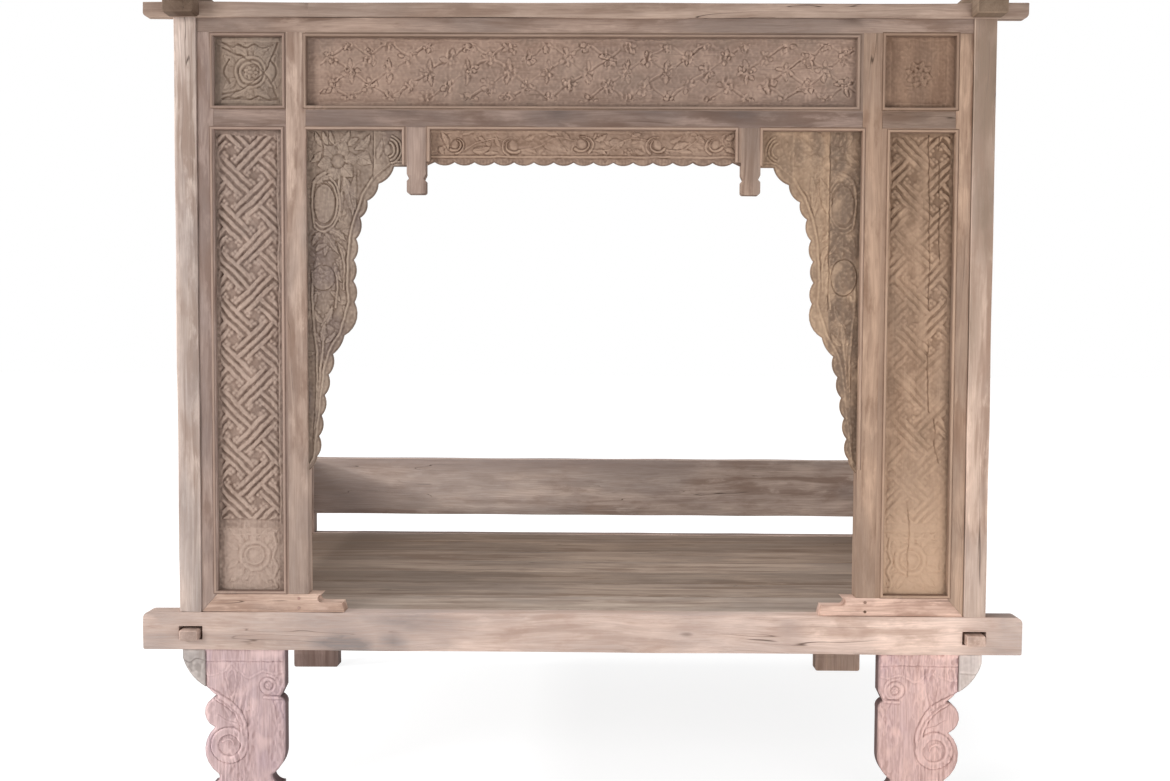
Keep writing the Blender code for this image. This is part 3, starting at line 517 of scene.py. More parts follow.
memberSet = {
    "slot": "frame_wood", "work": {"arris": 0.0016, "wave": 0.0004, "across": 0.014},
    "look": {"blotch": 1.0, "grey": 0.65, "streak": 0.7},
    "tones": {
        "screen_top_rail": (162, 139, 125), "left_mid_rail": (150, 129, 118),
        "centre_mid_rail": (147, 126, 115), "right_mid_rail": (154, 130, 114),
        "left_outer_stile": (168, 146, 135), "right_outer_stile": (178, 149, 128),
        "left_inner_stile": (181, 157, 142), "right_inner_stile": (175, 146, 125),
        "left_shoe_rail": (203, 174, 157), "right_shoe_rail": (210, 177, 160),
        "left_pendant": (161, 139, 127), "right_pendant": (166, 142, 126)},
    "stainsAndShade": {
        "centre_mid_rail": [(-0.06, 1.716, 0.06, 0.014, 1.2), (0.16, 1.712, 0.07, 0.016, 1.3),
                            (0.37, 1.712, 0.04, 0.02, 1.3), (-0.40, 1.710, 0.05, 0.014, 1.0)],
        "left_outer_stile": [(-0.935, 1.55, 0.03, 0.2, 0.4), (-0.935, 1.1, 0.03, 0.25, 0.35)],
        "right_inner_stile": [(0.71, 1.80, 0.05, 0.12, 0.5)],
        "screen_top_rail": [(0.45, 1.935, 0.3, 0.03, 0.4), (-0.2, 1.95, 0.15, 0.012, 0.4)]},
}
pegSet = {
    "slot": "peg_wood", "work": {"arris": 0.0008},
    "tones": {"left_upper_peg": (178, 142, 130), "left_lower_peg": (184, 152, 138),
              "right_upper_peg": (158, 128, 112), "right_lower_peg": (118, 92, 78)},
}
workTimbers(memberSet)
workTimbers(pegSet)
print("screen frame worked")


# Carving: a carved face is a field of heights in millimetres, u across the panel and w up it

carving = {
    "step": 1.6, "quickStep": 4.0, "offRim": 0.62,   # spacing of the net, least gap to the rim in steps
    "flank": 3.0, "cutWidth": 3.8,                   # slope of a rib, chisel line round a motif
    "notches": 4, "vein": 0.4, "rib": 0.22, "ribPitch": 7.0,   # of the leaves
    "slack": 3.0, "spiralSteps": 22, "haze": 9.0, "smooth": math.radians(60),
}
everywhere = (slice(None), slice(None))
hands = {"left": 1, "right": -1}
quarters = ((-1, -1), (1, -1), (-1, 1), (1, 1))


def soft(value, low, high):
    share = np.clip((value - low) / (high - low), 0, 1)
    return share * share * (3 - 2 * share)


def newCanvas(setup, seed, stray=1.4):
    low, high = setup["low"], setup["high"]
    step = carving["step"]
    u = np.linspace(low[0], high[0], round((high[0] - low[0]) / step) + 1)
    w = np.linspace(low[1], high[1], round((high[1] - low[1]) / step) + 1)
    netU, netW = np.meshgrid(u, w)
    canvas = {"u": u, "w": w, "netU": netU, "netW": netW, "step": step, "draw": np.random.default_rng(seed)}
    for name in ("h", "worn", "stain"):
        canvas[name] = np.zeros(netU.shape)
    # the carver's hand strays a little, so the motifs are drawn in slightly bent coordinates
    for name, net in (("across", netU), ("up", netW)):
        canvas[name] = net + stray * mottle(canvas, 34, 34) + 0.4 * stray * mottle(canvas, 12, 12)
    return canvas


def near(canvas, points, reach):
    # the window of the field that lies within reach of some points
    low = np.min(points, 0) - reach - carving["slack"]
    high = np.max(points, 0) + reach + carving["slack"]
    columns = slice(*np.searchsorted(canvas["u"], (low[0], high[0])))
    rows = slice(*np.searchsorted(canvas["w"], (low[1], high[1])))
    return rows, columns


def offset(canvas, part, centre):
    return canvas["across"][part] - centre[0], canvas["up"][part] - centre[1]


def gapTo(canvas, part, path, true=False):
    # distance from a line of points, and how far along it the nearest spot lies
    u, w = (canvas[name][part] for name in (("netU", "netW") if true else ("across", "up")))
    best = np.full(u.shape, 1e9)
    along = np.zeros(u.shape)
    start = 0.0
    for (fromU, fromW), (toU, toW) in zip(path[:-1], path[1:]):
        runU, runW = toU - fromU, toW - fromW
        length = math.hypot(runU, runW)
        share = np.clip(((u - fromU) * runU + (w - fromW) * runW) / length ** 2, 0, 1)
        gap = np.hypot(u - fromU - share * runU, w - fromW - share * runW)
        along = np.where(gap < best, start + share * length, along)
        best = np.minimum(gap, best)
        start += length
    return best, along


def lift(canvas, part, height):
    canvas["h"][part] = np.maximum(canvas["h"][part], height)


def curve(points, pieces=7):
    # a smooth line through some points
    points = [np.array(point, dtype=float) for point in points]
    padded = [2 * points[0] - points[1]] + points + [2 * points[-1] - points[-2]]
    line = []
    for before, start, end, after in zip(padded, padded[1:], padded[2:], padded[3:]):
        for share in np.linspace(0, 1, pieces, endpoint=False):
            line.append(0.5 * (2 * start + (end - before) * share
                               + (2 * before - 5 * start + 4 * end - after) * share ** 2
                               + (3 * start - before - 3 * end + after) * share ** 3))
    return [tuple(point) for point in line] + [tuple(points[-1])]


def around(centre, reachU, reachW, angles):
    return list(zip(centre[0] + reachU * np.cos(angles), centre[1] + reachW * np.sin(angles)))


def spiral(centre, radius, turns, start, least):
    # clockwise, narrowing to the least share of its radius
    share = np.linspace(0, 1, round(turns * carving["spiralSteps"]) + 1)
    reach = radius * (1 - (1 - least) * share)
    return around(centre, reach, reach, start - 2 * math.pi * turns * share)


def bar(canvas, path, half, top):
    # flat-topped rib
    flank = carving["flank"]
    part = near(canvas, path, half + flank)
    gap, _ = gapTo(canvas, part, path)
    lift(canvas, part, top * (1 - soft(gap, half - flank / 2, half + flank / 2)))


def cutRound(canvas, part, beyond, cut):
    canvas["h"][part] -= np.where(beyond > 0, cut * (1 - soft(beyond, 0, carving["cutWidth"])), 0)


def roll(canvas, path, half, top, end=1.0, foot=0.0, cut=0.0, power=2):
    # rounded rib that may thin towards its end
    part = near(canvas, path, half + carving["cutWidth"])
    gap, along = gapTo(canvas, part, path)
    width = half * (1 - (1 - end) * along / sum(math.dist(a, b) for a, b in zip(path, path[1:])))
    cutRound(canvas, part, gap - width, cut)
    lift(canvas, part, np.where(gap < width, foot + (top - foot) * (1 - (gap / width) ** power), 0))


def groove(canvas, path, half, depth):
    part = near(canvas, path, half)
    gap, _ = gapTo(canvas, part, path)
    canvas["h"][part] -= depth * (1 - soft(gap, 0, half))


def swell(canvas, centre, radii, amount):
    part = near(canvas, [centre], max(radii))
    u, w = offset(canvas, part, centre)
    canvas["h"][part] += amount * (1 - soft(np.hypot(u / radii[0], w / radii[1]), 0.25, 1))


def dome(canvas, centre, radii, top, foot=0.0, turn=0.0, cut=0.0, power=1):
    part = near(canvas, [centre], max(radii) + carving["cutWidth"])
    u, w = offset(canvas, part, centre)
    a = u * math.cos(turn) + w * math.sin(turn)
    b = w * math.cos(turn) - u * math.sin(turn)
    away = (a / radii[0]) ** 2 + (b / radii[1]) ** 2
    cutRound(canvas, part, (np.sqrt(away) - 1) * min(radii), cut)
    lift(canvas, part, np.where(away < 1, foot + (top - foot) * (1 - away ** power), 0))


def ring(canvas, centre, radius, half, top, foot, cut):
    part = near(canvas, [centre], radius + half + carving["cutWidth"])
    gap = np.abs(np.hypot(*offset(canvas, part, centre)) - radius)
    cutRound(canvas, part, gap - half, cut)
    lift(canvas, part, np.where(gap < half, foot + (top - foot) * (1 - (gap / half) ** 2), 0))


def leafShape(canvas, part, base, tip, half, bend, notch, notches):
    run = np.subtract(tip, base)
    length = np.hypot(*run)
    u, w = offset(canvas, part, base)
    inside = (u * run[0] + w * run[1]) / length ** 2
    along = np.clip(inside, 0, 1)
    aside = np.abs((w * run[0] - u * run[1]) / length - bend * 4 * along * (1 - along))
    reach = half * np.sin(math.pi * along ** 0.8) * (1 - notch * np.abs(np.sin(notches * math.pi * along)))
    reach = np.maximum(reach, 0.05)
    ribs = np.abs(np.sin(math.pi * (along * length - 0.8 * aside) / carving["ribPitch"]))
    return aside, reach, ribs, (inside > 0) & (inside < 1)


def leaf(canvas, base, tip, half, top, bend=0.0, notch=0.0, foot=0.0, cut=0.0):
    part = near(canvas, [base, tip], half + abs(bend) + carving["cutWidth"])
    aside, reach, ribs, beside = leafShape(canvas, part, base, tip, half, bend, notch, carving["notches"])
    rise = foot + (top - foot) * (1 - (aside / reach) ** 2)
    vein = carving["vein"] * (1 - soft(aside, 0, 2.6))
    rise -= (top - foot) * (vein + carving["rib"] * (1 - ribs) * soft(aside, 1.5, 4))
    cutRound(canvas, part, np.where(beside, aside - reach, -1), cut)
    lift(canvas, part, np.where(beside & (aside < reach), rise, 0))


def scoop(canvas, base, tip, half, depth, bend=0.0):
    part = near(canvas, [base, tip], half + abs(bend))
    aside, reach, _, beside = leafShape(canvas, part, base, tip, half, bend, 0.0, 1)
    canvas["h"][part] -= np.where(beside & (aside < reach), depth * (1 - (aside / reach) ** 2), 0)


def leaves(canvas, table, foot, cut, wider=1.0):
    # each row: base, tip, half width, top, bend, notch
    for base, tip, half, top, bend, notch in table:
        leaf(canvas, base, tip, wider * half, top, bend=bend, notch=notch, foot=foot, cut=cut)


def quarterLeaves(canvas, rose, table, foot):
    # the same few leaves in each quarter round a rosette, with a cut of their own
    for way in quarters:
        for base, tip, half, top, bend, notch, cut in table:
            leaf(canvas, np.add(rose, np.multiply(way, base)), np.add(rose, np.multiply(way, tip)), half, top,
                 bend=bend * way[0] * way[1], notch=notch, foot=foot, cut=cut)


def flower(canvas, centre, inner, outer, petals, top, turn=0.0, foot=0.0, cut=0.0):
    half = math.pi * (inner + outer) / 2 / petals
    for number in range(petals):
        angle = turn + 2 * math.pi * number / petals
        way = np.array([math.cos(angle), math.sin(angle)])
        base, tip = np.add(centre, inner * 0.7 * way), np.add(centre, outer * way)
        leaf(canvas, base, tip, half, top, foot=foot, cut=cut)
    dome(canvas, centre, (inner, inner), top, foot, cut=cut)


def sprinkle(canvas, low, high, count, sizes, top, foot, cut):
    # small leaves strewn over the ground between the main motifs
    draw = canvas["draw"]
    for _ in range(count):
        base = draw.uniform(low, high)
        angle = draw.uniform(0, 2 * math.pi)
        length = draw.uniform(*sizes)
        tip = base + length * np.array([math.cos(angle), math.sin(angle)])
        half = length * draw.uniform(0.2, 0.34)
        rise = foot + (top - foot) * draw.uniform(0.5, 1.0)
        leaf(canvas, base, tip, half, rise, bend=draw.uniform(-4, 4), notch=0.2, foot=foot,
             cut=cut * draw.uniform(0.3, 1.0))


def within(canvas, left, right, bottom, top, edge=2.5):
    u, w = canvas["across"], canvas["up"]
    inside = np.minimum(np.minimum(u - left, right - u), np.minimum(w - bottom, top - w))
    return soft(inside, -edge / 2, edge / 2)


def bands(canvas, left, right, spans, top):
    for low, high in spans:
        lift(canvas, everywhere, top * within(canvas, left, right, low, high))


def insideOf(canvas, outline):
    u, w = canvas["netU"], canvas["netW"]
    inside = np.zeros(u.shape, dtype=bool)
    for (fromU, fromW), (toU, toW) in zip(outline, outline[1:] + outline[:1]):
        if fromW != toW:
            crosses = (fromW > w) != (toW > w)
            inside ^= crosses & (u < fromU + (w - fromW) / (toW - fromW) * (toU - fromU))
    return inside


def haze(field, spreads):
    # running mean, rows then columns
    for axis, spread in enumerate(spreads):
        edges = [(0, 0), (0, 0)]
        edges[axis] = (spread + 1, spread)
        total = np.cumsum(np.pad(field, edges, mode="edge"), axis=axis)
        size, count = field.shape[axis], 2 * spread + 1
        upper = np.take(total, np.arange(count, size + count), axis)
        field = (upper - np.take(total, np.arange(size), axis)) / count
    return field


def mottle(canvas, wide, tall):
    # seeded spots about so many millimetres wide and tall, about -1 to 1
    spreads = [max(1, round(size / canvas["step"] / 3)) for size in (tall, wide)]
    field = canvas["draw"].standard_normal(canvas["h"].shape)
    for _ in range(3):
        field = haze(field, spreads)
    return np.clip(field / field.std() / 2, -1, 1)


def rubDown(canvas, share, spread, times=1):
    # wears the relief towards its running mean
    mean = canvas["h"]
    for _ in range(times):
        mean = haze(mean, [spread, spread])
    canvas["h"] += share * (mean - canvas["h"])


def settle(canvas, top, stipple, tool=(5.0, 5.0), ground=0.5, line=1.3, reach=7.0, patch=0.6):
    # tool marks, then the masks for the hollows, darkened with dirt and painted shade, and for the ridges,
    # paled with wear and a painted highlight, and patches bleached or stained
    for name, gain, size, below in (("worn", 1.4, (26, 34), 0.3), ("stain", 1.5, (44, 70), 0.25)):
        spots = patch * np.clip(gain * mottle(canvas, *size) - below, 0, 1)
        canvas[name] = np.maximum(canvas[name], spots)
    height = np.clip(canvas["h"] + stipple * mottle(canvas, *tool), 0, top)
    spread = [max(1, round(reach / canvas["step"] / 2))] * 2
    broad = haze(haze(height, spread), spread)
    canvas["top"] = top
    canvas["h"] = height
    broken = np.clip(0.85 + 0.7 * mottle(canvas, 15, 15), 0.25, 1.4)
    canvas["hollow"] = np.clip(ground * (1 - height / top) + broken * line * (broad - height) / top, 0, 1)
    canvas["ridge"] = np.clip(2.2 * (height - broad) / top, 0, 1)


def sampled(canvas, name, points):
    field = canvas[name]
    u = (points[:, 0] - canvas["u"][0]) / (canvas["u"][1] - canvas["u"][0])
    w = (points[:, 1] - canvas["w"][0]) / (canvas["w"][1] - canvas["w"][0])
    left = np.clip(u.astype(int), 0, field.shape[1] - 2)
    low = np.clip(w.astype(int), 0, field.shape[0] - 2)
    shareU, shareW = np.clip(u - left, 0, 1), np.clip(w - low, 0, 1)
    lower = field[low, left] * (1 - shareU) + field[low, left + 1] * shareU
    upper = field[low + 1, left] * (1 - shareU) + field[low + 1, left + 1] * shareU
    return lower * (1 - shareW) + upper * shareW


def frontOutline(nodeName, mirror):
    # the corners of a board's front face, and where that face and the back lie
    mesh = cleanCopy(nodeName)
    front = max((face for face in mesh.faces if face.normal.y < -0.99), key=lambda face: face.calc_area())
    outline = [(mirror * vert.co.x * 1000, vert.co.z * 1000) for vert in front.verts]
    frontY = front.verts[0].co.y
    mesh.free()
    if mirror < 0:
        outline.reverse()
    return outline, frontY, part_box(nodeName)[1][1]


def gridFront(canvas, outline):
    # a rectangular board: an even net over the part that is seen, one more row hidden in the grooves
    low, high = np.min(outline, 0), np.max(outline, 0)
    u = np.concatenate([[low[0]], canvas["u"], [high[0]]])
    w = np.concatenate([[low[1]], canvas["w"], [high[1]]])
    columns, rows = len(u), len(w)
    points = np.stack(np.meshgrid(u, w), axis=-1).reshape(-1, 2)
    number = np.arange(columns * rows).reshape(rows, columns)
    faces = np.stack([number[:-1, :-1], number[:-1, 1:], number[1:, 1:], number[1:, :-1]], axis=-1)
    chains = [number[0].tolist(), number[:, -1].tolist(), number[-1, ::-1].tolist(), number[::-1, 0].tolist()]
    corners = [(low[0], low[1]), (high[0], low[1]), (high[0], high[1]), (low[0], high[1])]
    return points, faces.reshape(-1, 4).tolist(), chains, corners


def fittedFront(canvas, outline):
    # a sawn board: the rim follows the true outline and the net fills what lies inside it
    rim, chains = [], []
    for start, end in zip(outline, outline[1:] + outline[:1]):
        count = max(1, round(math.dist(start, end) / canvas["step"]))
        chains.append(list(range(len(rim), len(rim) + count + 1)))
        rim += [tuple(np.add(start, np.subtract(end, start) * share / count)) for share in range(count)]
    chains[-1][-1] = 0
    keep = insideOf(canvas, outline) & (canvas["edge"] > carving["offRim"] * canvas["step"])
    spots = rim + list(zip(canvas["netU"][keep], canvas["netW"][keep]))
    loop = [(number, (number + 1) % len(rim)) for number in range(len(rim))]
    cut = geometry.delaunay_2d_cdt([Vector(spot) for spot in spots], loop, [], 1, 1e-4)
    made = {source: number for number, sources in enumerate(cut[3]) for source in sources}
    chains = [[made[number] for number in chain] for chain in chains]
    return np.array([tuple(spot) for spot in cut[0]]), [list(face) for face in cut[2]], chains, outline


def markEdge(canvas, nodeName, mirror):
    # how far every spot lies from the sawn outline
    outline, _, _ = frontOutline(nodeName, mirror)
    canvas["edge"], _ = gapTo(canvas, everywhere, outline + outline[:1], true=True)


def carvedBoard(nodeName, canvas, mirror, axis, material, slot, fitted=False, sideDirtAndShade=0.0):
    outline, frontY, backY = frontOutline(nodeName, mirror)
    points, faces, chains, corners = (fittedFront if fitted else gridFront)(canvas, outline)
    depth = frontY + (canvas["top"] - sampled(canvas, "h", points)) / 1000
    spots = np.column_stack([points[:, 0] * mirror / 1000, depth, points[:, 1] / 1000]).tolist()
    first = len(spots)
    spots += [(mirror * u / 1000, backY, w / 1000) for u, w in corners]
    for number, chain in enumerate(chains):
        faces.append(chain + [first + (number + 1) % len(corners), first + number])
    faces.append(list(range(first, first + len(corners))))
    piece = newPiece(nodeName + "_carved", spots, faces, carving["smooth"])
    setGrain(piece, axis, seedOf(nodeName))
    for name in ("hollow", "ridge", "worn", "stain"):
        # the back corners of the sawn sides get extra darkening: painted shade with some dirt
        behind = np.full(len(corners), sideDirtAndShade if name == "hollow" else 0.0)
        setValues(piece, name, np.concatenate([sampled(canvas, name, points), behind]))
    place(piece, material, slot, nodeName)


# Tall panels: a basket weave of triple bars with leaf tips, over a square with a rosette

tallSet = {
    "low": (-913.2, 521.0), "high": (-733.2, 1684.0), "top": 8.0, "margin": 4.8, "ground": 3.2, "foot": 2.6,
    "field": (-906.0, -762.0, 707.0, 1666.0), "square": (-901.0, -763.0, 527.0, 685.0),
    "centre": (-818.0, 1042.0), "period": 116.5, "pitch": 17.2, "half": 5.6, "long": 62.0, "short": 43.0,
    "barTop": 7.4, "barRound": 1.0,
    "buds": ((50.0, 17.0), (43.0, 25.5), (51.5, 26.5)), "bud": 7.8, "budTop": 7.2,
    "left": {"tone": (167, 145, 132), "wear": 0.3, "dirtAndShade": 0.75, "stipple": 1.2, "square": 0.75},
    "right": {"tone": (169, 140, 117), "wear": 1.0, "dirtAndShade": 0.68, "stipple": 0.8, "square": 1.0},
    "look": {"wear": 0.8, "stainTint": (0.58, 0.57, 0.56)},
    "edgeRib": [(-757.5, 700), (-757.5, 1668)],
    "edgeCuts": [([(-762.5, 690), (-762.5, 1668)], 2.4, 2.5), ([(-905, 705), (-760, 705)], 2.6, 2.0)],
    "rose": (-825.7, 613.7), "rings": [(35, 6.5, 5.8, 2.6, 1.4), (22, 3.6, 5.0, 2.4, 1.0)],
    # base and tip from the rosette's middle, half width, top, bend, notch, cut
    "leaves": [((27, 28), (66, 70), 15, 6.0, 5, 0.3, 1.3), ((40, 14), (70, 34), 9, 5.2, 0, 0.0, 1.2),
               ((14, 41), (36, 72), 8, 5.0, 0, 0.0, 1.2)],
    "strewn": ((-894, 534), (-770, 680), 46, (14, 30), 5.0, 2.6, 1.3),
    "wave": [(-771, 536), (-778, 560), (-769, 586), (-779, 612), (-770, 640), (-776, 672)],
    "bars": [([(-826, 704), (-826, 654)], 8, 5.4), ([(-884, 669), (-776, 669)], 3.2, 5.4)],
    "cracks": [
        [(-853, 1672), (-855, 1560), (-858, 1400), (-861, 1240)], [(-859, 1163), (-862, 1006), (-866, 985)],
        [(-879, 1668), (-881, 1500), (-884, 1352)], [(-877, 969), (-882, 930), (-880, 900), (-889, 859)],
        [(-816, 761), (-820, 700), (-818, 569)],
    ],
    "crackHalf": 2.0, "crackDepth": 3.6, "stripEdge": (3, 17), "stripHeight": 4.6, "darkerRise": (1250, 1560),
    "paleStrip": [(-847, 1650), (-838, 1500), (-829, 1396), (-836, 1320), (-846, 1248), (-840, 1150)],
}


def fretHeight(canvas):
    cell = tallSet["period"] / math.sqrt(2)
    u, w = offset(canvas, everywhere, tallSet["centre"])
    s, t = (u + w) / math.sqrt(2), (w - u) / math.sqrt(2)
    flank = carving["flank"]
    half = tallSet["half"]
    height = np.zeros(u.shape)
    for stepS, stepT in ((0, 0), (1, 0), (-1, 0), (0, 1), (0, -1)):
        i, j = np.round(s / cell) + stepS, np.round(t / cell) + stepT
        rising = (i + j) % 2 == 0
        a, b = s - i * cell, t - j * cell
        along, aside = np.abs(np.where(rising, a, b)), np.abs(np.where(rising, b, a))
        for apart, reach in ((0, tallSet["long"]), (tallSet["pitch"], tallSet["short"])):
            gap = np.hypot(np.maximum(along - reach, 0), aside - apart)
            flat = 1 - soft(gap, half - flank / 2, half + flank / 2)
            height = np.maximum(height, flat * (tallSet["barTop"] - tallSet["barRound"] * (gap / half) ** 2))
        # no two leaf tips are quite alike
        swollen = tallSet["bud"] * (1 + 0.16 * np.sin(12.9 * i + 78.2 * j))
        for budAlong, budAside in tallSet["buds"]:
            gap = np.hypot(along - budAlong, aside - budAside) / swollen
            height = np.maximum(height, tallSet["budTop"] * (1 - gap ** 2))
    return np.maximum(height, 0)


def rosetteSquare(canvas):
    rose, foot = tallSet["rose"], tallSet["foot"]
    sprinkle(canvas, *tallSet["strewn"])
    quarterLeaves(canvas, rose, tallSet["leaves"], foot)
    for row in tallSet["rings"]:
        ring(canvas, rose, *row)
    dome(canvas, rose, (14, 14), 6.6, foot, cut=1.4)
    roll(canvas, curve(tallSet["wave"]), 5, 6.2, foot=foot, cut=1.2)
    for row in tallSet["bars"]:
        bar(canvas, *row)


def crackTall(canvas):
    # the right panel is split, darker towards its top and has a bleached strip
    strip, _ = gapTo(canvas, everywhere, curve(tallSet["paleStrip"]))
    strip = 1 - soft(strip, *tallSet["stripEdge"])
    canvas["h"] = canvas["h"] * (1 - 0.5 * strip) + 0.5 * strip * tallSet["stripHeight"]
    canvas["worn"] = 0.6 * strip * (0.6 + 0.4 * mottle(canvas, 20, 60))
    canvas["stain"] = 0.95 * soft(canvas["up"], *tallSet["darkerRise"])
    for crack in tallSet["cracks"]:
        groove(canvas, curve(crack), tallSet["crackHalf"], tallSet["crackDepth"])


def carveTall(side):
    spec = tallSet[side]
    canvas = newCanvas(tallSet, seedOf(side + "tall"), 2.0)
    field, square = within(canvas, *tallSet["field"]), within(canvas, *tallSet["square"])
    canvas["h"] = tallSet["margin"] * (1 - field) * (1 - square) + fretHeight(canvas) * field
    canvas["h"] += tallSet["ground"] * square
    roll(canvas, tallSet["edgeRib"], 3.2, 6.6)
    for row in tallSet["edgeCuts"]:
        groove(canvas, *row)
    rosetteSquare(canvas)
    crisp = (1 - soft(canvas["across"], -862, -846)) * soft(canvas["up"], 1080, 1180)
    rubbed = np.clip(0.5 * mottle(canvas, 60, 140) + 0.82 - 0.3 * crisp, 0, 1) * (1 - 0.75 * square)
    rubDown(canvas, 0.9 * (rubbed * spec["wear"]), 6, 2)
    if side == "right":
        crackTall(canvas)
    settle(canvas, tallSet["top"], spec["stipple"], ground=0.45, line=0.95, reach=carving["haze"])
    pale = 1 - soft(canvas["up"], 600, 960) if side == "right" else square
    canvas["hollow"] *= 1 - 0.75 * pale
    canvas["worn"] = np.maximum(canvas["worn"], spec["square"] * pale)
    wood = makeWood(side + "TallWood", spec["tone"], dict(carvedLook, dirtAndShade=spec["dirtAndShade"]), **tallSet["look"])
    carvedBoard(side + "_tall_panel", canvas, hands[side], 2, wood, "carved_wood")


for sideName in hands:
    carveTall(sideName)
print("tall panels carved")


# Corner panels: a ringed rosette between crossing ribbons

cornerSet = {
    "low": (-913.2, 1725.0), "high": (-733.2, 1915.0), "top": 6.0, "rose": (-826.0, 1820.3), "foot": 2.2,
    "field": (-897.0, -750.0, 1742.0, 1906.0), "left": (155, 136, 121), "right": (151, 122, 102),
    "margin": 3.4, "ground": 2.8, "bands": (-898, -751, ((1742, 1752), (1894, 1906)), 4.8),
    "rings": [(37, 4.2, 4.8, 2.2, 1.2), (25, 4.6, 5.4, 2.0, 1.4)], "boss": (-776.4, 1822.9),
    "leaves": [((8, 38), (52, 64), 15, 5.0, 6, 0.25, 1.3), ((36, 14), (66, 42), 11, 4.6, 0, 0.0, 1.2)],
    "lines": [
        [(-894, 1768), (-868, 1772), (-838, 1782), (-794, 1822), (-775, 1850), (-757, 1893)],
        [(-894, 1880), (-868, 1868), (-838, 1856), (-794, 1820), (-774, 1794), (-760, 1757)],
        [(-775, 1850), (-761, 1823), (-774, 1794)], [(-877, 1850), (-892, 1823), (-878, 1794)],
        [(-896, 1894), (-884, 1889), (-870, 1883), (-856, 1888), (-838, 1880), (-818, 1889), (-796, 1882),
         (-770, 1888)],
        [(-896, 1756), (-878, 1760), (-862, 1754), (-846, 1758), (-826, 1753), (-808, 1762), (-786, 1754),
         (-757, 1756)],
    ],
    "strewn": ((-892, 1756), (-756, 1892), 40, (14, 30), 4.4, 2.2, 1.2),
    "finish": {"stipple": 0.6, "ground": 0.38, "line": 1.8},
    "wornGround": 3.2, "wornMargin": 4.4, "wornField": (-892, -758, 1750, 1900, 4),
    "wornStrewn": ((-880, 1768), (-770, 1880), 26, (14, 30), 4.0, 2.8, 0.5),
    "wornFlowers": ((14, 34, 8, 0.3), (5, 19, 6, 0.0)),
}


def ribbonRosette(canvas):
    rose, foot = cornerSet["rose"], cornerSet["foot"]
    field = within(canvas, *cornerSet["field"])
    canvas["h"] = cornerSet["margin"] * (1 - field) + cornerSet["ground"] * field
    sprinkle(canvas, *cornerSet["strewn"])
    bands(canvas, *cornerSet["bands"])
    quarterLeaves(canvas, rose, cornerSet["leaves"], foot)
    for row in cornerSet["rings"]:
        ring(canvas, rose, *row)
    swell(canvas, rose, (20, 20), -1.0)
    flower(canvas, rose, 6, 18, 7, 5.2, foot=1.8, cut=1.0)
    dome(canvas, cornerSet["boss"], (13, 22), 4.8, 2.4, cut=1.2)
    for line in cornerSet["lines"]:
        groove(canvas, curve(line), 3.6, 3.4)
    canvas["h"] += 0.9 * mottle(canvas, 16, 16) * field


def wornRosette(canvas):
    # worn nearly smooth, but for a small crumbled flower and a few ghosts of leaves
    rose = cornerSet["rose"]
    canvas["h"] = np.full(canvas["netU"].shape, cornerSet["wornGround"])
    sprinkle(canvas, *cornerSet["wornStrewn"])
    for inner, outer, petals, turn in cornerSet["wornFlowers"]:
        flower(canvas, rose, inner, outer, petals, 4.8, turn=turn, foot=2.6, cut=1.3)
    away = np.hypot(*offset(canvas, everywhere, rose))
    canvas["h"] += 1.4 * mottle(canvas, 7, 7) * (1 - soft(away, 22, 42)) + 0.4 * mottle(canvas, 30, 20)
    lift(canvas, everywhere, cornerSet["wornMargin"] * (1 - within(canvas, *cornerSet["wornField"])))


def carveCorner(side):
    canvas = newCanvas(cornerSet, seedOf(side + "corner"), 2.2)
    (wornRosette if side == "right" else ribbonRosette)(canvas)
    settle(canvas, cornerSet["top"], **cornerSet["finish"])
    wood = makeWood(side + "CornerWood", cornerSet[side], carvedLook)
    carvedBoard(side + "_corner_panel", canvas, hands[side], 2, wood, "carved_wood")


for sideName in hands:
    carveCorner(sideName)
print("corner panels carved")


# Frieze: a shallow worn lattice with florets at its crossings

friezeSet = {
    "low": (-685.2, 1725.0), "high": (685.2, 1915.0), "top": 6.0, "field": (-654.0, 668.0, 1752.0, 1894.0, 5),
    "tone": (160, 135, 120), "stainTint": (0.72, 0.76, 0.77), "rubHighlightTint": (1.5, 1.5, 1.48), "rubAndHighlight": 1.0,
    "pitch": 97.8, "row": 33.9, "start": -625.7, "count": 14, "base": 1789.0, "ground": 3.5, "foot": 2.4,
    "bands": (-656, 672, ((1738, 1748), (1898, 1906)), 4.3),
    "finish": {"stipple": 0.6, "ground": 0.2, "line": 1.7},
    "slants": ((1, 3.8, 0.92), (-1, 2.6, 0.7)),   # way, depth, chance of each lattice line
    "patches": [(-320, 1785, 50, 32, 0.6), (640, 1780, 40, 32, 0.7), (120, 1800, 70, 32, 0.35),
                (-560, 1860, 60, 32, 0.35)],
}


def friezeFloret(canvas, spot, tall):
    draw, foot = canvas["draw"], friezeSet["foot"]
    for _ in range(int(draw.integers(6, 10))):
        angle = draw.uniform(0, 2 * math.pi)
        way = np.array([math.cos(angle), math.sin(angle)])
        base = np.add(spot, draw.uniform(-9, 9, 2)) + 4 * way
        length = draw.uniform(8, 19)
        leaf(canvas, base, base + length * way, length * draw.uniform(0.28, 0.44), draw.uniform(4.8, 6.0),
             bend=draw.uniform(-3, 3), foot=foot, cut=draw.uniform(0.8, 2.8))
    for way in (-1, 1):
        end = np.add(spot, (draw.uniform(-6, 6), way * tall))
        base = np.add(spot, (draw.uniform(-3, 3), 6 * way))
        leaf(canvas, base, end, draw.uniform(4, 8), draw.uniform(4.4, 6.0), notch=0.3, foot=foot,
             cut=draw.uniform(1.0, 2.6))


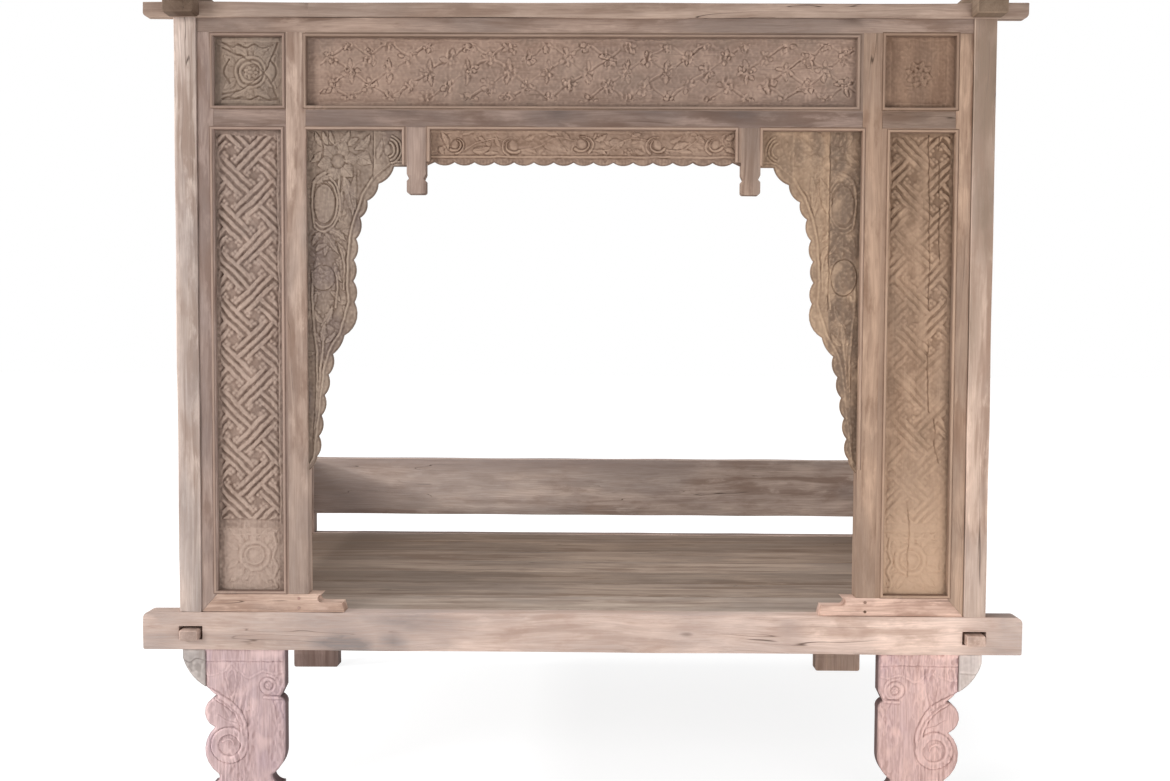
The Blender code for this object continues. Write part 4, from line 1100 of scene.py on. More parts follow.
def carveFrieze():
    canvas = newCanvas(friezeSet, seedOf("frieze"), 3.2)
    draw = canvas["draw"]
    field = within(canvas, *friezeSet["field"])
    canvas["h"] = np.full(field.shape, friezeSet["ground"])
    pitch, row = friezeSet["pitch"], friezeSet["row"]
    crossings = []
    for number in range(-1, friezeSet["count"]):
        for line in range(-1, 4):
            middle = friezeSet["start"] + pitch * (number + 0.5 * (line % 2))
            spot = np.array([middle, friezeSet["base"] + row * line])
            crossings.append((line, spot + draw.uniform(-3, 3, 2)))
    for _, spot in crossings:
        for wayU, depth, chance in friezeSet["slants"]:
            if draw.uniform() > chance:
                continue
            run = np.array([wayU * pitch / 2, row])
            start, end = spot + run * draw.uniform(0.0, 0.2), spot + run * draw.uniform(0.6, 1.0)
            groove(canvas, [start, end], 2.8, depth * draw.uniform(0.3, 0.9))
            aside = np.array([-wayU * 2.4, 4.2])
            roll(canvas, [start + aside, end + aside], 2.6, draw.uniform(3.8, 4.8), end=0.6, foot=3.0)
    crumble = np.zeros(field.shape)
    for line, spot in crossings:
        friezeFloret(canvas, spot, draw.uniform(24, 36) if line == 1 else draw.uniform(12, 24))
        u, w = offset(canvas, everywhere, spot)
        away = (u / 17) ** 2 + (w / draw.uniform(14, 26)) ** 2
        crumble = np.maximum(crumble, draw.uniform(0.5, 1.0) * np.exp(-away))
    canvas["h"] += 4.4 * crumble * mottle(canvas, 5, 8)
    canvas["h"] = canvas["h"] * field + friezeSet["ground"] * (1 - field)
    bands(canvas, *friezeSet["bands"])
    rubDown(canvas, np.clip(mottle(canvas, 90, 50) * 0.8 + 0.1, 0, 1) * 0.6, 2)
    canvas["h"] += 0.5 * mottle(canvas, 26, 18) * field
    canvas["stain"] = blots(canvas["netU"], canvas["netW"], friezeSet["patches"])
    settle(canvas, friezeSet["top"], **friezeSet["finish"])
    look = dict(carvedLook, rubAndHighlight=friezeSet["rubAndHighlight"], rubHighlightTint=friezeSet["rubHighlightTint"])
    wood = makeWood("friezeWood", friezeSet["tone"], look, stainTint=friezeSet["stainTint"])
    carvedBoard("frieze_panel", canvas, 1, 0, wood, "carved_wood")


carveFrieze()
print("frieze carved")


# Spandrels: flower, fruit and leaves inside a ridged, lobed rim

spandrelSet = {
    "low": (-694.9, 832.0), "high": (-426.0, 1693.7), "top": 7.5, "foot": 2.2, "square": -521.7, "rubAndHighlight": 1.0,
    "left": {"tone": (161, 142, 127), "stainTint": (0.58, 0.58, 0.68), "seam": (-521.7, 1560), "wear": 0.15,
             "ground": 0.5, "line": 1.9},
    "right": {"tone": (178, 150, 125), "stainTint": (0.41, 0.42, 0.46), "seam": (-611.0, 1240), "wear": 0.7,
              "ground": 0.2, "line": 1.7},
    "bloom": (-608.8, 1602.5), "fruit": (-645, 1498), "scroll": (-486, 1632), "seamTop": 1690,
    "ridge": 6.5, "ridgeMore": 5.0, "ridgeTop": 6.2, "ridgeHalf": 4.4, "ridgeCuts": ((5.4, 2.0), (-5.2, 1.4)),
    "strewn": ((-690, 1100), (-560, 1690), 120, (16, 36), 4.4, 2.0, 1.5),
    "boss": (-648, 1320), "crispLeaves": [((-606, 1476), (-584, 1568), 17, 5.4, 6, 0.25)],
    "stain": [(-660, 1360, 48, 110, 0.8)], "behind": [(-700, 832), (-700, 1700), (-428, 1700)],
    "notches": [
        (-428, 1592), (-472, 1591), (-512, 1556), (-539, 1514), (-557, 1464), (-570, 1411), (-574, 1357),
        (-576, 1299), (-572, 1254), (-598, 1170), (-627, 1123), (-641, 1076), (-649.5, 1021), (-655, 966),
        (-662, 915), (-668, 865), (-685, 832),
    ],
    "leaves": [
        # base, tip, half width, top, bend, notch
        ((-650, 1640), (-668, 1678), 8, 5.6, 2, 0.2), ((-634, 1642), (-648, 1680), 8, 5.6, 2, 0.2),
        ((-620, 1645), (-630, 1681), 7, 5.6, 2, 0.2), ((-604, 1646), (-580, 1679), 11, 6.0, -4, 0.3),
        ((-585, 1640), (-556, 1660), 9, 5.6, 3, 0.2), ((-568, 1632), (-528, 1672), 13, 6.0, -7, 0.25),
        ((-566, 1616), (-526, 1596), 19, 5.4, 4, 0.0), ((-652, 1626), (-680, 1600), 11, 5.4, 4, 0.25),
        ((-640, 1580), (-678, 1548), 12, 6.2, 6, 0.2), ((-612, 1566), (-650, 1556), 10, 6.0, -5, 0.2),
        ((-596, 1566), (-573, 1466), 15, 6.0, 5, 0.15), ((-566, 1570), (-566, 1478), 8, 5.0, -5, 0.0),
        ((-600, 1530), (-606, 1450), 10, 5.4, -4, 0.2), ((-640, 1436), (-590, 1404), 13, 6.2, 5, 0.4),
        ((-642, 1432), (-606, 1370), 11, 6.2, -4, 0.35), ((-650, 1430), (-676, 1392), 11, 5.8, -4, 0.3),
        ((-644, 1420), (-644, 1366), 10, 5.6, 3, 0.2), ((-612, 1400), (-592, 1352), 8, 5.4, 3, 0.2),
        ((-668, 1380), (-634, 1396), 7, 5.8, 5, 0.0), ((-620, 1352), (-600, 1300), 10, 5.6, -4, 0.25),
        ((-630, 1280), (-604, 1252), 9, 5.4, 3, 0.2), ((-664, 1276), (-676, 1236), 8, 5.2, -3, 0.2),
        ((-656, 1192), (-626, 1248), 12, 6.0, -6, 0.3), ((-650, 1200), (-674, 1240), 9, 5.4, 5, 0.2),
        ((-650, 1146), (-643, 1206), 10, 6.0, 2, 0.2), ((-654, 1150), (-676, 1196), 8, 5.4, 4, 0.2),
        ((-646, 1150), (-618, 1184), 9, 5.6, -5, 0.2), ((-600, 1246), (-586, 1212), 8, 4.8, 3, 0.0),
    ],
    "stems": [
        ([(-618, 1585), (-664, 1560), (-676, 1500), (-668, 1440)], 4.0, 5.4),
        ([(-606, 1582), (-612, 1500), (-618, 1452), (-644, 1428)], 4.0, 5.2),
        ([(-617, 1340), (-612, 1290), (-618, 1240)], 3.2, 5.0),
        ([(-604, 1384), (-594, 1338), (-596, 1286)], 3.2, 4.6),
        ([(-674, 1330), (-676, 1240), (-668, 1160), (-664, 1060), (-672, 900)], 4.0, 5.2),
        ([(-650, 1150), (-658, 1060), (-664, 960)], 3.6, 4.8),
    ],
}


def spandrelMotifs(canvas):
    foot = spandrelSet["foot"]
    bloom, fruit = spandrelSet["bloom"], spandrelSet["fruit"]
    sprinkle(canvas, *spandrelSet["strewn"])
    leaves(canvas, spandrelSet["leaves"], foot, 1.8)
    for line, half, top in spandrelSet["stems"]:
        roll(canvas, curve(line), half, top, foot=foot, cut=1.6)
    flower(canvas, bloom, 17, 54, 6, 5.8, turn=0.2, foot=2.4, cut=1.8)
    swell(canvas, bloom, (25, 25), -2.4)
    dome(canvas, bloom, (15.5, 15.5), 6.6, 2.0, cut=1.8)
    dome(canvas, fruit, (26, 48), 5.8, 3.4, cut=2.4, power=2)
    for wider in (1.28, 1.52):
        arc = around(fruit, 26 * wider, 45 * wider, np.linspace(-2.2, 1.2, 26))
        roll(canvas, arc, 2.8, 4.8, foot=foot, cut=1.6)
    dome(canvas, (-648, 1314), (29, 31), 5.2, 3.2, cut=2.2, power=2)
    flower(canvas, (-650, 1318), 6, 24, 5, 6.2, turn=0.5, foot=3.4, cut=1.2)


def spandrelSquare(canvas, gap):
    board = canvas["across"] > spandrelSet["square"]
    square = within(canvas, -516, -444, 1596, 1672, 3) * board
    canvas["h"] = np.where(board & (gap > 12), 4.4 - 1.4 * square, canvas["h"])
    scroll = spandrelSet["scroll"]
    dome(canvas, scroll, (9, 13), 5.6, 2.6, cut=1.4)
    for radius in (18, 27, 35):
        arc = around(scroll, radius, radius, np.linspace(-1.25, 1.25, 16))
        roll(canvas, arc, 3.2, 5.6, foot=2.6, cut=1.6)
    leaf(canvas, (-511, 1608), (-500, 1660), 8, 5.2, foot=2.6, cut=1.4)


def carveSpandrel(side):
    nodeName = side + "_spandrel"
    spec = spandrelSet[side]
    canvas = newCanvas(spandrelSet, seedOf(nodeName))
    notches = spandrelSet["notches"]
    gap, along = gapTo(canvas, everywhere, notches)
    gap = np.where(insideOf(canvas, notches + spandrelSet["behind"]), gap, -gap)
    narrow = soft(canvas["up"], 1040, 1150)
    canvas["h"] = 2.5 + 0.9 * (1 - soft(gap, 4, 7))
    canvas["h"] += 0.25 * np.sin(2 * math.pi * along / 8.0) * (1 - soft(gap, 2, 6))
    spandrelMotifs(canvas)
    ridgeAt = spandrelSet["ridge"] + spandrelSet["ridgeMore"] * narrow
    rim = soft(gap, ridgeAt + 2, ridgeAt + 6)
    canvas["h"] = canvas["h"] * rim + 3.2 * (1 - rim)
    bulge = 1 - ((gap - ridgeAt) / spandrelSet["ridgeHalf"]) ** 2
    lift(canvas, everywhere, spandrelSet["ridgeTop"] * bulge)
    for apart, depth in spandrelSet["ridgeCuts"]:
        canvas["h"] -= depth * (1 - soft(np.abs(gap - ridgeAt - apart), 0, 2.6)) * narrow
    spandrelSquare(canvas, gap)
    seam, seamFoot = spec["seam"]
    seamTop = spandrelSet["seamTop"]
    groove(canvas, [(seam, seamFoot), (seam, seamTop)], 2.2, 3.0)
    if side == "right":
        canvas["stain"] = 1 - soft(canvas["across"], seam - 2, seam + 2)
        canvas["stain"] = np.maximum(canvas["stain"], 0.5 * soft(canvas["across"], -524, -516))
    else:
        canvas["stain"] = blots(canvas["netU"], canvas["netW"], spandrelSet["stain"])
    rubDown(canvas, np.clip(0.8 + 0.5 * mottle(canvas, 50, 70), 0, 1) * spec["wear"], 3, 2)
    if side == "right":
        # what is still crisp on the worn one
        dome(canvas, spandrelSet["boss"], (31, 44), 4.8, 3.4, cut=2.8, power=2)
        leaves(canvas, spandrelSet["crispLeaves"], 2.8, 1.6)
        groove(canvas, [(seam, seamFoot), (seam, seamTop)], 2.0, 2.6)
    markEdge(canvas, nodeName, hands[side])
    canvas["h"] -= 2.2 * (1 - soft(canvas["edge"], 0, 3.4))
    canvas["h"] += 0.6 * mottle(canvas, 11, 11)
    settle(canvas, spandrelSet["top"], 0.8, ground=spec["ground"], line=spec["line"], patch=0.75)
    look = dict(carvedLook, rubAndHighlight=spandrelSet["rubAndHighlight"])
    wood = makeWood(side + "SpandrelWood", spec["tone"], look, grey=0.35, stainTint=spec["stainTint"])
    carvedBoard(nodeName, canvas, hands[side], 2, wood, "carved_wood", fitted=True)


for sideName in hands:
    carveSpandrel(sideName)
print("spandrels carved")


# Apron: running scrolls and leaves over a ridge line and hatched scallops

apronSet = {
    "low": (-398.4, 1594.5), "high": (398.4, 1693.7), "top": 6.5, "tone": (163, 137, 119), "line": 1615.0,
    "floret": (112, 1627), "widen": 1.15, "finish": {"stipple": 0.8, "ground": 0.36, "line": 1.9},
    "strewn": ((-380, 1622), (380, 1674), 70, (12, 26), 4.2, 2.0, 1.4),
    "scrolls": [(-319, 1644, 17, 1), (-173, 1643, 21, -1), (-3, 1646, 20, 1), (183, 1644, 20, -1),
                (327, 1645, 18, -1)],
    "lips": ((0.98, -2.4, 0.9, 3.8, 5.4, 2.6), (1.4, -1.2, 1.5, 3.2, 4.8, 1.6)),
    "leaves": [
        ((-352, 1676), (-336, 1630), 8, 5.4, 4, 0.2), ((-360, 1640), (-346, 1620), 7, 5.0, 0, 0.2),
        ((-300, 1668), (-268, 1676), 6, 5.0, 3, 0.2), ((-276, 1628), (-230, 1640), 9, 6.0, -3, 0.0),
        ((-262, 1664), (-246, 1650), 6, 5.2, 2, 0.2), ((-246, 1622), (-208, 1624), 5, 4.8, 2, 0.0),
        ((-206, 1640), (-218, 1668), 6, 4.8, 3, 0.2), ((-146, 1656), (-118, 1670), 7, 5.4, -3, 0.3),
        ((-144, 1632), (-116, 1624), 6, 5.0, 3, 0.2), ((-108, 1654), (-40, 1628), 15, 4.8, 5, 0.0),
        ((-92, 1674), (-60, 1668), 6, 5.0, 2, 0.2), ((-34, 1660), (-52, 1678), 6, 5.0, 2, 0.2),
        ((28, 1656), (60, 1672), 8, 5.4, -4, 0.3), ((30, 1630), (58, 1622), 6, 5.0, 3, 0.2),
        ((64, 1650), (104, 1652), 12, 4.8, -4, 0.0), ((118, 1660), (146, 1672), 8, 5.2, 3, 0.3),
        ((126, 1634), (156, 1624), 7, 5.2, -3, 0.2), ((214, 1652), (244, 1668), 8, 5.4, -3, 0.3),
        ((222, 1636), (262, 1648), 9, 5.8, 3, 0.2), ((236, 1628), (272, 1624), 6, 5.4, 2, 0.2),
        ((276, 1664), (300, 1650), 9, 5.0, 3, 0.2), ((352, 1658), (376, 1674), 8, 5.2, -3, 0.2),
        ((350, 1634), (376, 1624), 7, 5.0, 3, 0.2),
    ],
    "stems": [
        [(-300, 1628), (-262, 1650), (-222, 1660), (-192, 1652)],
        [(-154, 1630), (-110, 1640), (-66, 1662), (-22, 1656)],
        [(16, 1630), (60, 1632), (112, 1660), (164, 1656)],
        [(202, 1632), (250, 1634), (290, 1662), (312, 1654)],
    ],
}


def curlLeaf(canvas, centre, radius, hand):
    # a leaf that rolls in on itself: a soft lobe, a deep crescent beside it and a broken lip outside
    draw = canvas["draw"]
    dome(canvas, centre, (0.5 * radius, 0.72 * radius), 5.8, 2.8, turn=draw.uniform(-0.6, 0.6), cut=1.0)
    for reach, start, end, half, top, cut in apronSet["lips"]:
        angles = np.linspace(start, end, 18) + draw.uniform(-0.3, 0.3)
        spread = reach * radius * np.linspace(1.05, 0.82, 18)
        arc = around(centre, hand * spread, 0.86 * spread, angles)
        roll(canvas, arc, half, top, end=0.35, foot=2.2, cut=cut)


def carveApron():
    canvas = newCanvas(apronSet, seedOf("apron"))
    u, w = canvas["across"], canvas["up"]
    line = apronSet["line"]
    canvas["h"] = 2.5 + 1.0 * (1 - soft(w, line - 6, line - 3)) + 2.0 * soft(w, 1672, 1675)
    canvas["h"] += 0.35 * np.sin(2 * math.pi * u / 8.2) * (1 - soft(w, line - 10, line - 5))
    sprinkle(canvas, *apronSet["strewn"])
    leaves(canvas, apronSet["leaves"], 2.0, 1.6, apronSet["widen"])
    for stem in apronSet["stems"]:
        roll(canvas, curve(stem), 2.6, 4.2, end=0.4, foot=2.4, cut=0.8)
    for centreU, centreW, radius, hand in apronSet["scrolls"]:
        curlLeaf(canvas, (centreU, centreW), radius, hand)
    flower(canvas, apronSet["floret"], 4, 12, 5, 5.6, foot=2.2, cut=1.2)
    roll(canvas, [(-386, line), (386, line)], 3.2, 5.2, foot=2.4, cut=1.2)
    rubDown(canvas, np.clip(mottle(canvas, 60, 40) + 0.3, 0, 1) * 0.5, 2)
    markEdge(canvas, "apron_panel", 1)
    canvas["h"] -= 2.0 * (1 - soft(canvas["edge"], 0, 3.2))
    canvas["stain"] = 1 - soft(w, line - 9, line - 3)
    canvas["h"] += 0.5 * mottle(canvas, 12, 10)
    settle(canvas, apronSet["top"], **apronSet["finish"])
    wood = makeWood("apronWood", apronSet["tone"], carvedLook, grey=0.45)
    carvedBoard("apron_panel", canvas, 1, 0, wood, "carved_wood", fitted=True)


carveApron()
print("apron carved")


# Legs: front planks with ribbon, volute and small curl, ears beside them, plain back planks

legSet = {
    "low": (-952.0, 0.0), "high": (-745.0, 381.0), "top": 9.0,
    "left": (208, 181, 181), "right": (215, 182, 176),
    # the sawn sides of the legs darken towards the back with painted shade and some dirt
    "volute": (-889, 134), "curl": (-788.5, 286.5), "ground": 4.4, "sideDirtAndShade": 6.0,
    "finish": {"stipple": 0.5, "tool": (4.0, 14.0), "ground": 0.1, "line": 2.6, "patch": 0.9},
    "look": {"ring": 0.08, "streak": 0.22, "fibre": 0.5, "scratch": 0.7, "blotch": 0.6, "grey": 0.25,
             "pale": (1.2, 1.18, 1.12), "stainTint": (0.80, 0.80, 0.87)},
    "carved": {"dirtAndShade": 0.55, "dirtShadeTint": (0.27, 0.25, 0.25), "rubAndHighlight": 1.0, "rubHighlightTint": (1.3, 1.3, 1.28)},
    "hem": [(-955, 320), (-938, 313), (-918, 316), (-894, 326), (-880, 345), (-866, 328), (-840, 308),
            (-818, 317), (-800, 325), (-772, 318), (-745, 326)],
    "ribbon": [(-934, 268), (-912, 255), (-886, 238), (-866, 215), (-853, 186), (-849, 160)],
    "cuts": [
        ([(-930, 262), (-903, 246), (-880, 227), (-860, 202), (-849, 161)], 4.6, 3.2),
        ([(-866, 318), (-871, 276), (-880, 232)], 3.4, 2.6),
        ([(-898, 303), (-890, 270), (-880, 236)], 3.0, 2.2),
        ([(-798, 262), (-757, 262)], 3.2, 3.0), ([(-781, 258), (-770, 230), (-766, 190)], 2.8, 1.8),
        ([(-914, 212), (-890, 196), (-868, 190)], 2.8, 2.0), ([(-946, 348), (-750, 348)], 2.4, 2.4),
    ],
}
earSet = {
    "low": (-1004.0, 283.0), "high": (-930.0, 381.0), "top": 5.0, "ground": 3.6,
    "left": (185, 174, 168), "right": (210, 196, 189), "carved": {"dirtAndShade": 0.7, "dirtShadeTint": (0.4, 0.38, 0.36)},
    "chip": [(-1000, 352), (-985, 346), (-968, 356), (-948, 350)], "step": [(-1004, 330), (-930, 331)],
}
backLegSet = {
    "slot": "leg_wood", "work": {"arris": 0.003, "axis": 2},
    # the left back leg's dark tone is painted shade on the same pale plank as the right one
    "tones": {"back_left_leg": (128, 107, 99), "back_right_leg": (214, 182, 163)},
}


def carveLeg(side):
    nodeName = f"front_{side}_leg"
    canvas = newCanvas(legSet, seedOf(nodeName))
    u, w = canvas["across"], canvas["up"]
    volute, curl, ground = legSet["volute"], legSet["curl"], legSet["ground"]
    hemLine = curve(legSet["hem"])
    above = w - np.interp(u, *zip(*hemLine))
    canvas["h"] = ground + 0.9 * soft(above, -1.5, 1.5) + 0.6 * soft(w, 347, 350)
    teeth = np.sin(2 * math.pi * u / 10.0) * soft(above, 2, 8) * (1 - soft(w, 338, 346))
    canvas["h"] += 1.1 * teeth * soft(np.sin(2 * math.pi * (u + 870) / 90), -0.2, 0.6)
    roll(canvas, hemLine, 3.6, 6.0, foot=ground, cut=0.6)
    scoop(canvas, (-880, 326), (-884, 258), 17, 3.4, bend=3)
    swell(canvas, (-930, 205), (36, 42), 1.2)
    sweep = curve(legSet["ribbon"]) + spiral(volute, 39, 0.98, 0.3, 0.9)
    roll(canvas, sweep, 9.5, 7.2, foot=ground, cut=2.2, power=6)
    away = np.hypot(*offset(canvas, everywhere, volute))
    canvas["h"] -= 2.4 * (1 - soft(away, 22, 29))
    canvas["h"] += 1.5 * mottle(canvas, 4, 16) * (1 - soft(away, 18, 27))
    roll(canvas, spiral(volute, 17, 0.42, 2.6, 0.6), 4.2, 5.6, end=0.4, foot=2.4)
    swell(canvas, curl, (15, 15), -1.8)
    ring(canvas, curl, 17, 5.5, 6.8, 4.2, 1.8)
    flower(canvas, curl, 3.5, 10, 5, 5.6, foot=2.4)
    roll(canvas, spiral(curl, 28, 0.45, 1.6, 0.85), 4.0, 6.0, foot=ground, cut=1.0)
    roll(canvas, [(-797, 257), (-757, 257)], 4.6, 6.4, foot=ground, cut=1.2)
    for path, half, depth in legSet["cuts"]:
        groove(canvas, curve(path), half, depth)
    chisel = soft(-w, -112, -92) * within(canvas, -918, -850, -20, 118, 16)
    canvas["h"] += 1.0 * np.sin(2 * math.pi * u / 9.0) * chisel
    strokes = np.clip(mottle(canvas, 4, 16), -0.3, 1) * np.clip(0.6 + mottle(canvas, 50, 80), 0, 1)
    canvas["h"] += 0.5 * mottle(canvas, 30, 90) - 3.6 * strokes
    markEdge(canvas, nodeName, hands[side])
    canvas["h"] -= 4.0 * (1 - soft(canvas["edge"], 0, 5.5)) * (1 - soft(w, 372, 380))
    settle(canvas, legSet["top"], **legSet["finish"])
    wood = makeWood(side + "LegWood", legSet[side], {**carvedLook, **legSet["carved"]}, **legSet["look"])
    carvedBoard(nodeName, canvas, hands[side], 2, wood, "leg_wood", fitted=True, sideDirtAndShade=legSet["sideDirtAndShade"])


def carveEar(side):
    nodeName = f"front_{side}_leg_ear"
    canvas = newCanvas(earSet, seedOf(nodeName))
    w = canvas["up"]
    canvas["h"] = np.full(w.shape, earSet["ground"])
    markEdge(canvas, nodeName, hands[side])
    if side == "left":
        crumbs = np.clip(mottle(canvas, 9, 9) + 0.25, 0, 1) * (1 - soft(w, 345, 352))
        canvas["h"] -= (3.0 * crumbs + 0.6 * mottle(canvas, 16, 16)) * soft(canvas["edge"], 2, 6)
        groove(canvas, curve(earSet["chip"]), 3.0, 2.2)
    else:
        groove(canvas, earSet["step"], 2.8, 2.4)
        canvas["h"] -= 0.8 * (1 - soft(w, 328, 331))
    canvas["h"] -= 1.8 * (1 - soft(canvas["edge"], 0, 4))
    settle(canvas, earSet["top"], 0.3, reach=carving["haze"])
    wood = makeWood(side + "EarWood", earSet[side], {**carvedLook, **earSet["carved"]}, streak=0.3)
    carvedBoard(nodeName, canvas, hands[side], 2, wood, "ear_wood", fitted=True)


for sideName in hands:
    carveLeg(sideName)
    carveEar(sideName)
workTimbers(backLegSet)
print("legs carved")


# Bead mouldings round the openings of the screen

beadSet = {
    "width": 6.6, "proud": 2.8, "quirk": 1.4, "overhang": 0.3, "sink": 17.0, "spacing": 55.0, "faceY": -625.0,
    "wave": 0.35, "flush": -0.25, "tuck": 0.4, "pith": 0.07, "smooth": math.radians(40),
    "carved": {"dirtAndShade": 0.85, "rubAndHighlight": 0.3},
    # inner edges of the bead, then the edges of the opening that it lines: left, bottom, right, top
    "loops": {
        "left_corner_bead": ((-914.5, 1735.0, -742.0, 1905.5), (-913.2, 1725.0, -733.2, 1915.0),
                             (150, 127, 114)),
        "right_corner_bead": ((739.0, 1735.0, 912.0, 1909.0), (733.2, 1725.0, 913.2, 1915.0),
                              (150, 124, 106)),
        "frieze_bead": ((-683.5, 1736.0, 671.0, 1904.5), (-685.2, 1725.0, 685.2, 1915.0), (152, 129, 114)),
        "left_tall_bead": ((-916.0, 528.0, -746.0, 1677.0), (-913.2, 521.0, -733.2, 1684.0), (162, 138, 125)),
        "right_tall_bead": ((753.0, 528.0, 914.0, 1675.0), (733.2, 521.0, 913.2, 1684.0), (168, 140, 120)),
    },
    # the same for beads that don't close: a path of inner corners and one of outer corners
    "strips": {
        "left_spandrel_bead": ([(-686.0, 1678.0), (-447.0, 1678.0), (-447.0, 1592.0)],
                               [(-686.0, 1686.4), (-435.9, 1686.4), (-435.9, 1592.0)], (168, 144, 129)),
        "right_spandrel_bead": ([(441.0, 1592.0), (441.0, 1678.0), (685.5, 1678.0), (685.5, 842.0)],
                                [(432.6, 1592.0), (432.6, 1686.4), (693.9, 1686.4), (693.9, 842.0)],
                                (168, 141, 123)),
        "apron_bead": ([(-378.5, 1600.0), (-378.5, 1679.0), (374.5, 1679.0), (374.5, 1600.0)],
                       [(-388.5, 1600.0), (-388.5, 1687.4), (388.5, 1687.4), (388.5, 1600.0)],
                       (166, 141, 125)),
    },
}


def beadProfile():
    # steps into the frame and out of its face, with the mask values of each step; the darker reveal wall,
    # flank feet and quirk are painted shade with some dirt, the paler crown is wear with a painted highlight
    width, quirk = beadSet["width"], beadSet["quirk"]
    over, sink = beadSet["overhang"], beadSet["sink"]
    rows = [(-over, -sink, 0.45, 0.0)]
    for angle in np.linspace(0, math.pi, 9):
        step = (width - over) / 2 - (width + over) / 2 * math.cos(angle)
        dirtAndShade = 0.4 * abs(math.cos(angle)) ** 3
        rows.append((step, beadSet["proud"] * math.sin(angle), dirtAndShade, math.sin(angle)))
    return rows + [(width + 0.3, 0.25, 0.8, 0.0), (width + quirk, 0.2, 0.8, 0.0)]


def spaced(path, closed):
    line = []
    corners = path + path[:1] if closed else path
    for start, end in zip(corners, corners[1:]):
        count = max(1, round(math.dist(start, end) / beadSet["spacing"]))
        line += [np.add(start, np.subtract(end, start) * share / count) for share in range(count)]
    return np.array(line if closed else line + [np.array(path[-1])])


def makeBead(name, inner, outer, closed, tone):
    # the opening lies to the right of the path's way, the frame to its left
    line = spaced(inner, closed)
    ahead = np.roll(line, -1, axis=0) - line
    ahead /= np.linalg.norm(ahead, axis=1)[:, None]
    if not closed:
        ahead[-1] = ahead[-2]
    behind = np.roll(ahead, 1, axis=0)
    if not closed:
        behind[0] = ahead[0]
    leftAhead = np.column_stack([-ahead[:, 1], ahead[:, 0]])
    leftBehind = np.column_stack([-behind[:, 1], behind[:, 0]])
    mitre = (leftAhead + leftBehind) / (1 + np.sum(leftAhead * leftBehind, axis=1))[:, None]
    lengths = np.cumsum([0.0] + [math.dist(a, b) for a, b in zip(inner, inner[1:] + inner[:1])])
    travels = np.concatenate([[0.0], np.cumsum(np.linalg.norm(np.diff(line, axis=0), axis=1))])
    rounds = outer + outer[:1]
    edge = np.column_stack([np.interp(travels, lengths, values) for values in zip(*rounds)])
    draw = np.random.default_rng(seedOf(name))
    rows = beadProfile()
    flush = beadSet["flush"]
    spots, dirtAndShades, rubsAndHighlights, grain = [], [], [], []
    for point, way, far, travel in zip(line, mitre, edge, travels):
        sway = draw.uniform(-1, 1) * beadSet["wave"]
        section = [(point + way * step, rise + sway * max(0.0, rise) / beadSet["proud"], dirtAndShade, rubAndHighlight)
                   for step, rise, dirtAndShade, rubAndHighlight in rows]
        # a little painted shade on the face just outside the quirk
        section += [(point + way * (rows[-1][0] + 0.1), flush, 0.3, 0.0), (far, flush, 0.0, 0.0),
                    (far, -beadSet["sink"], 0.0, 0.0)]
        for spot, rise, dirtAndShade, rubAndHighlight in section:
            spots.append((spot[0] / 1000, (beadSet["faceY"] - rise) / 1000, spot[1] / 1000))
            dirtAndShades.append(dirtAndShade)
            rubsAndHighlights.append(rubAndHighlight)
            aside = float(np.linalg.norm(spot - point)) / 1000
            grain.append((travel / 1000, aside + beadSet["pith"], rise / 1000))
    size, count = len(rows) + 3, len(line)
    faces = []
    for number in range(count if closed else count - 1):
        here, there = number * size, (number + 1) % count * size
        for row in range(size):
            after = (row + 1) % size
            faces.append((here + row, there + row, there + after, here + after))
    if not closed:
        faces += [tuple(range(size)), tuple(range((count - 1) * size, count * size))]
    piece = newPiece(name, spots, faces, beadSet["smooth"])
    setValues(piece, "grain", grain, "FLOAT_VECTOR")
    setValues(piece, "hollow", dirtAndShades)
    setValues(piece, "ridge", rubsAndHighlights)
    place(piece, makeWood(name + "Wood", tone, {**carvedLook, **beadSet["carved"]}), "frame_wood")


def rectangle(left, bottom, right, top):
    return [(left, bottom), (left, top), (right, top), (right, bottom)]


def makeBeads():
    reach = beadSet["width"] + beadSet["quirk"] + beadSet["tuck"]
    for name, (inner, opening, tone) in beadSet["loops"].items():
        outer = [min(a - reach, b) for a, b in zip(inner[:2], opening[:2])]
        outer += [max(a + reach, b) for a, b in zip(inner[2:], opening[2:])]
        makeBead(name, rectangle(*inner), rectangle(*outer), True, tone)
    for name, (inner, outer, tone) in beadSet["strips"].items():
        makeBead(name, inner, outer, False, tone)


makeBeads()
print("beads laid")


# Floor, light and camera

studio = {
    "floorSize": 60.0, "floorBounce": 0.72, "floorGlow": 0.85, "floorFade": (1.6, 3.4), "floorCatch": 0.30,
    "skyStrength": 0.38, "skyColour": (0.96, 0.98, 1.0, 1.0),
    "lamps": {
        "keyLamp": {"at": (-3.5, -3.4, 2.3), "to": (0.0, -0.6, 1.05), "size": (1.5, 1.5), "power": 94.0},
        "lowLamp": {"at": (2.2, -3.2, 0.45), "to": (0.7, -0.6, 0.6), "size": (2.2, 0.8), "power": 53.0},
        "fillLamp": {"at": (0.3, -5.2, 1.3), "to": (0.0, 0.2, 0.9), "size": (3.0, 2.0), "power": 18.0},
        "topLamp": {"at": (0.0, 0.1, 4.2), "to": (0.0, 0.1, 0.5), "size": (1.8, 1.1), "power": 72.0},
        "sideLamp": {"at": (-4.5, -0.72, 1.84), "to": (0.4, 0.5, 0.6), "size": (0.28, 0.28), "power": 125.0},
    },
}


def shownRays(tree):
    # the rays that show the background: straight from the camera, or by way of metal or glass
    path = put(tree, "ShaderNodeLightPath").outputs
    shown = calc(tree, "MAXIMUM", path["Is Camera Ray"], path["Is Glossy Ray"])
    return calc(tree, "MAXIMUM", shown, path["Is Transmission Ray"])


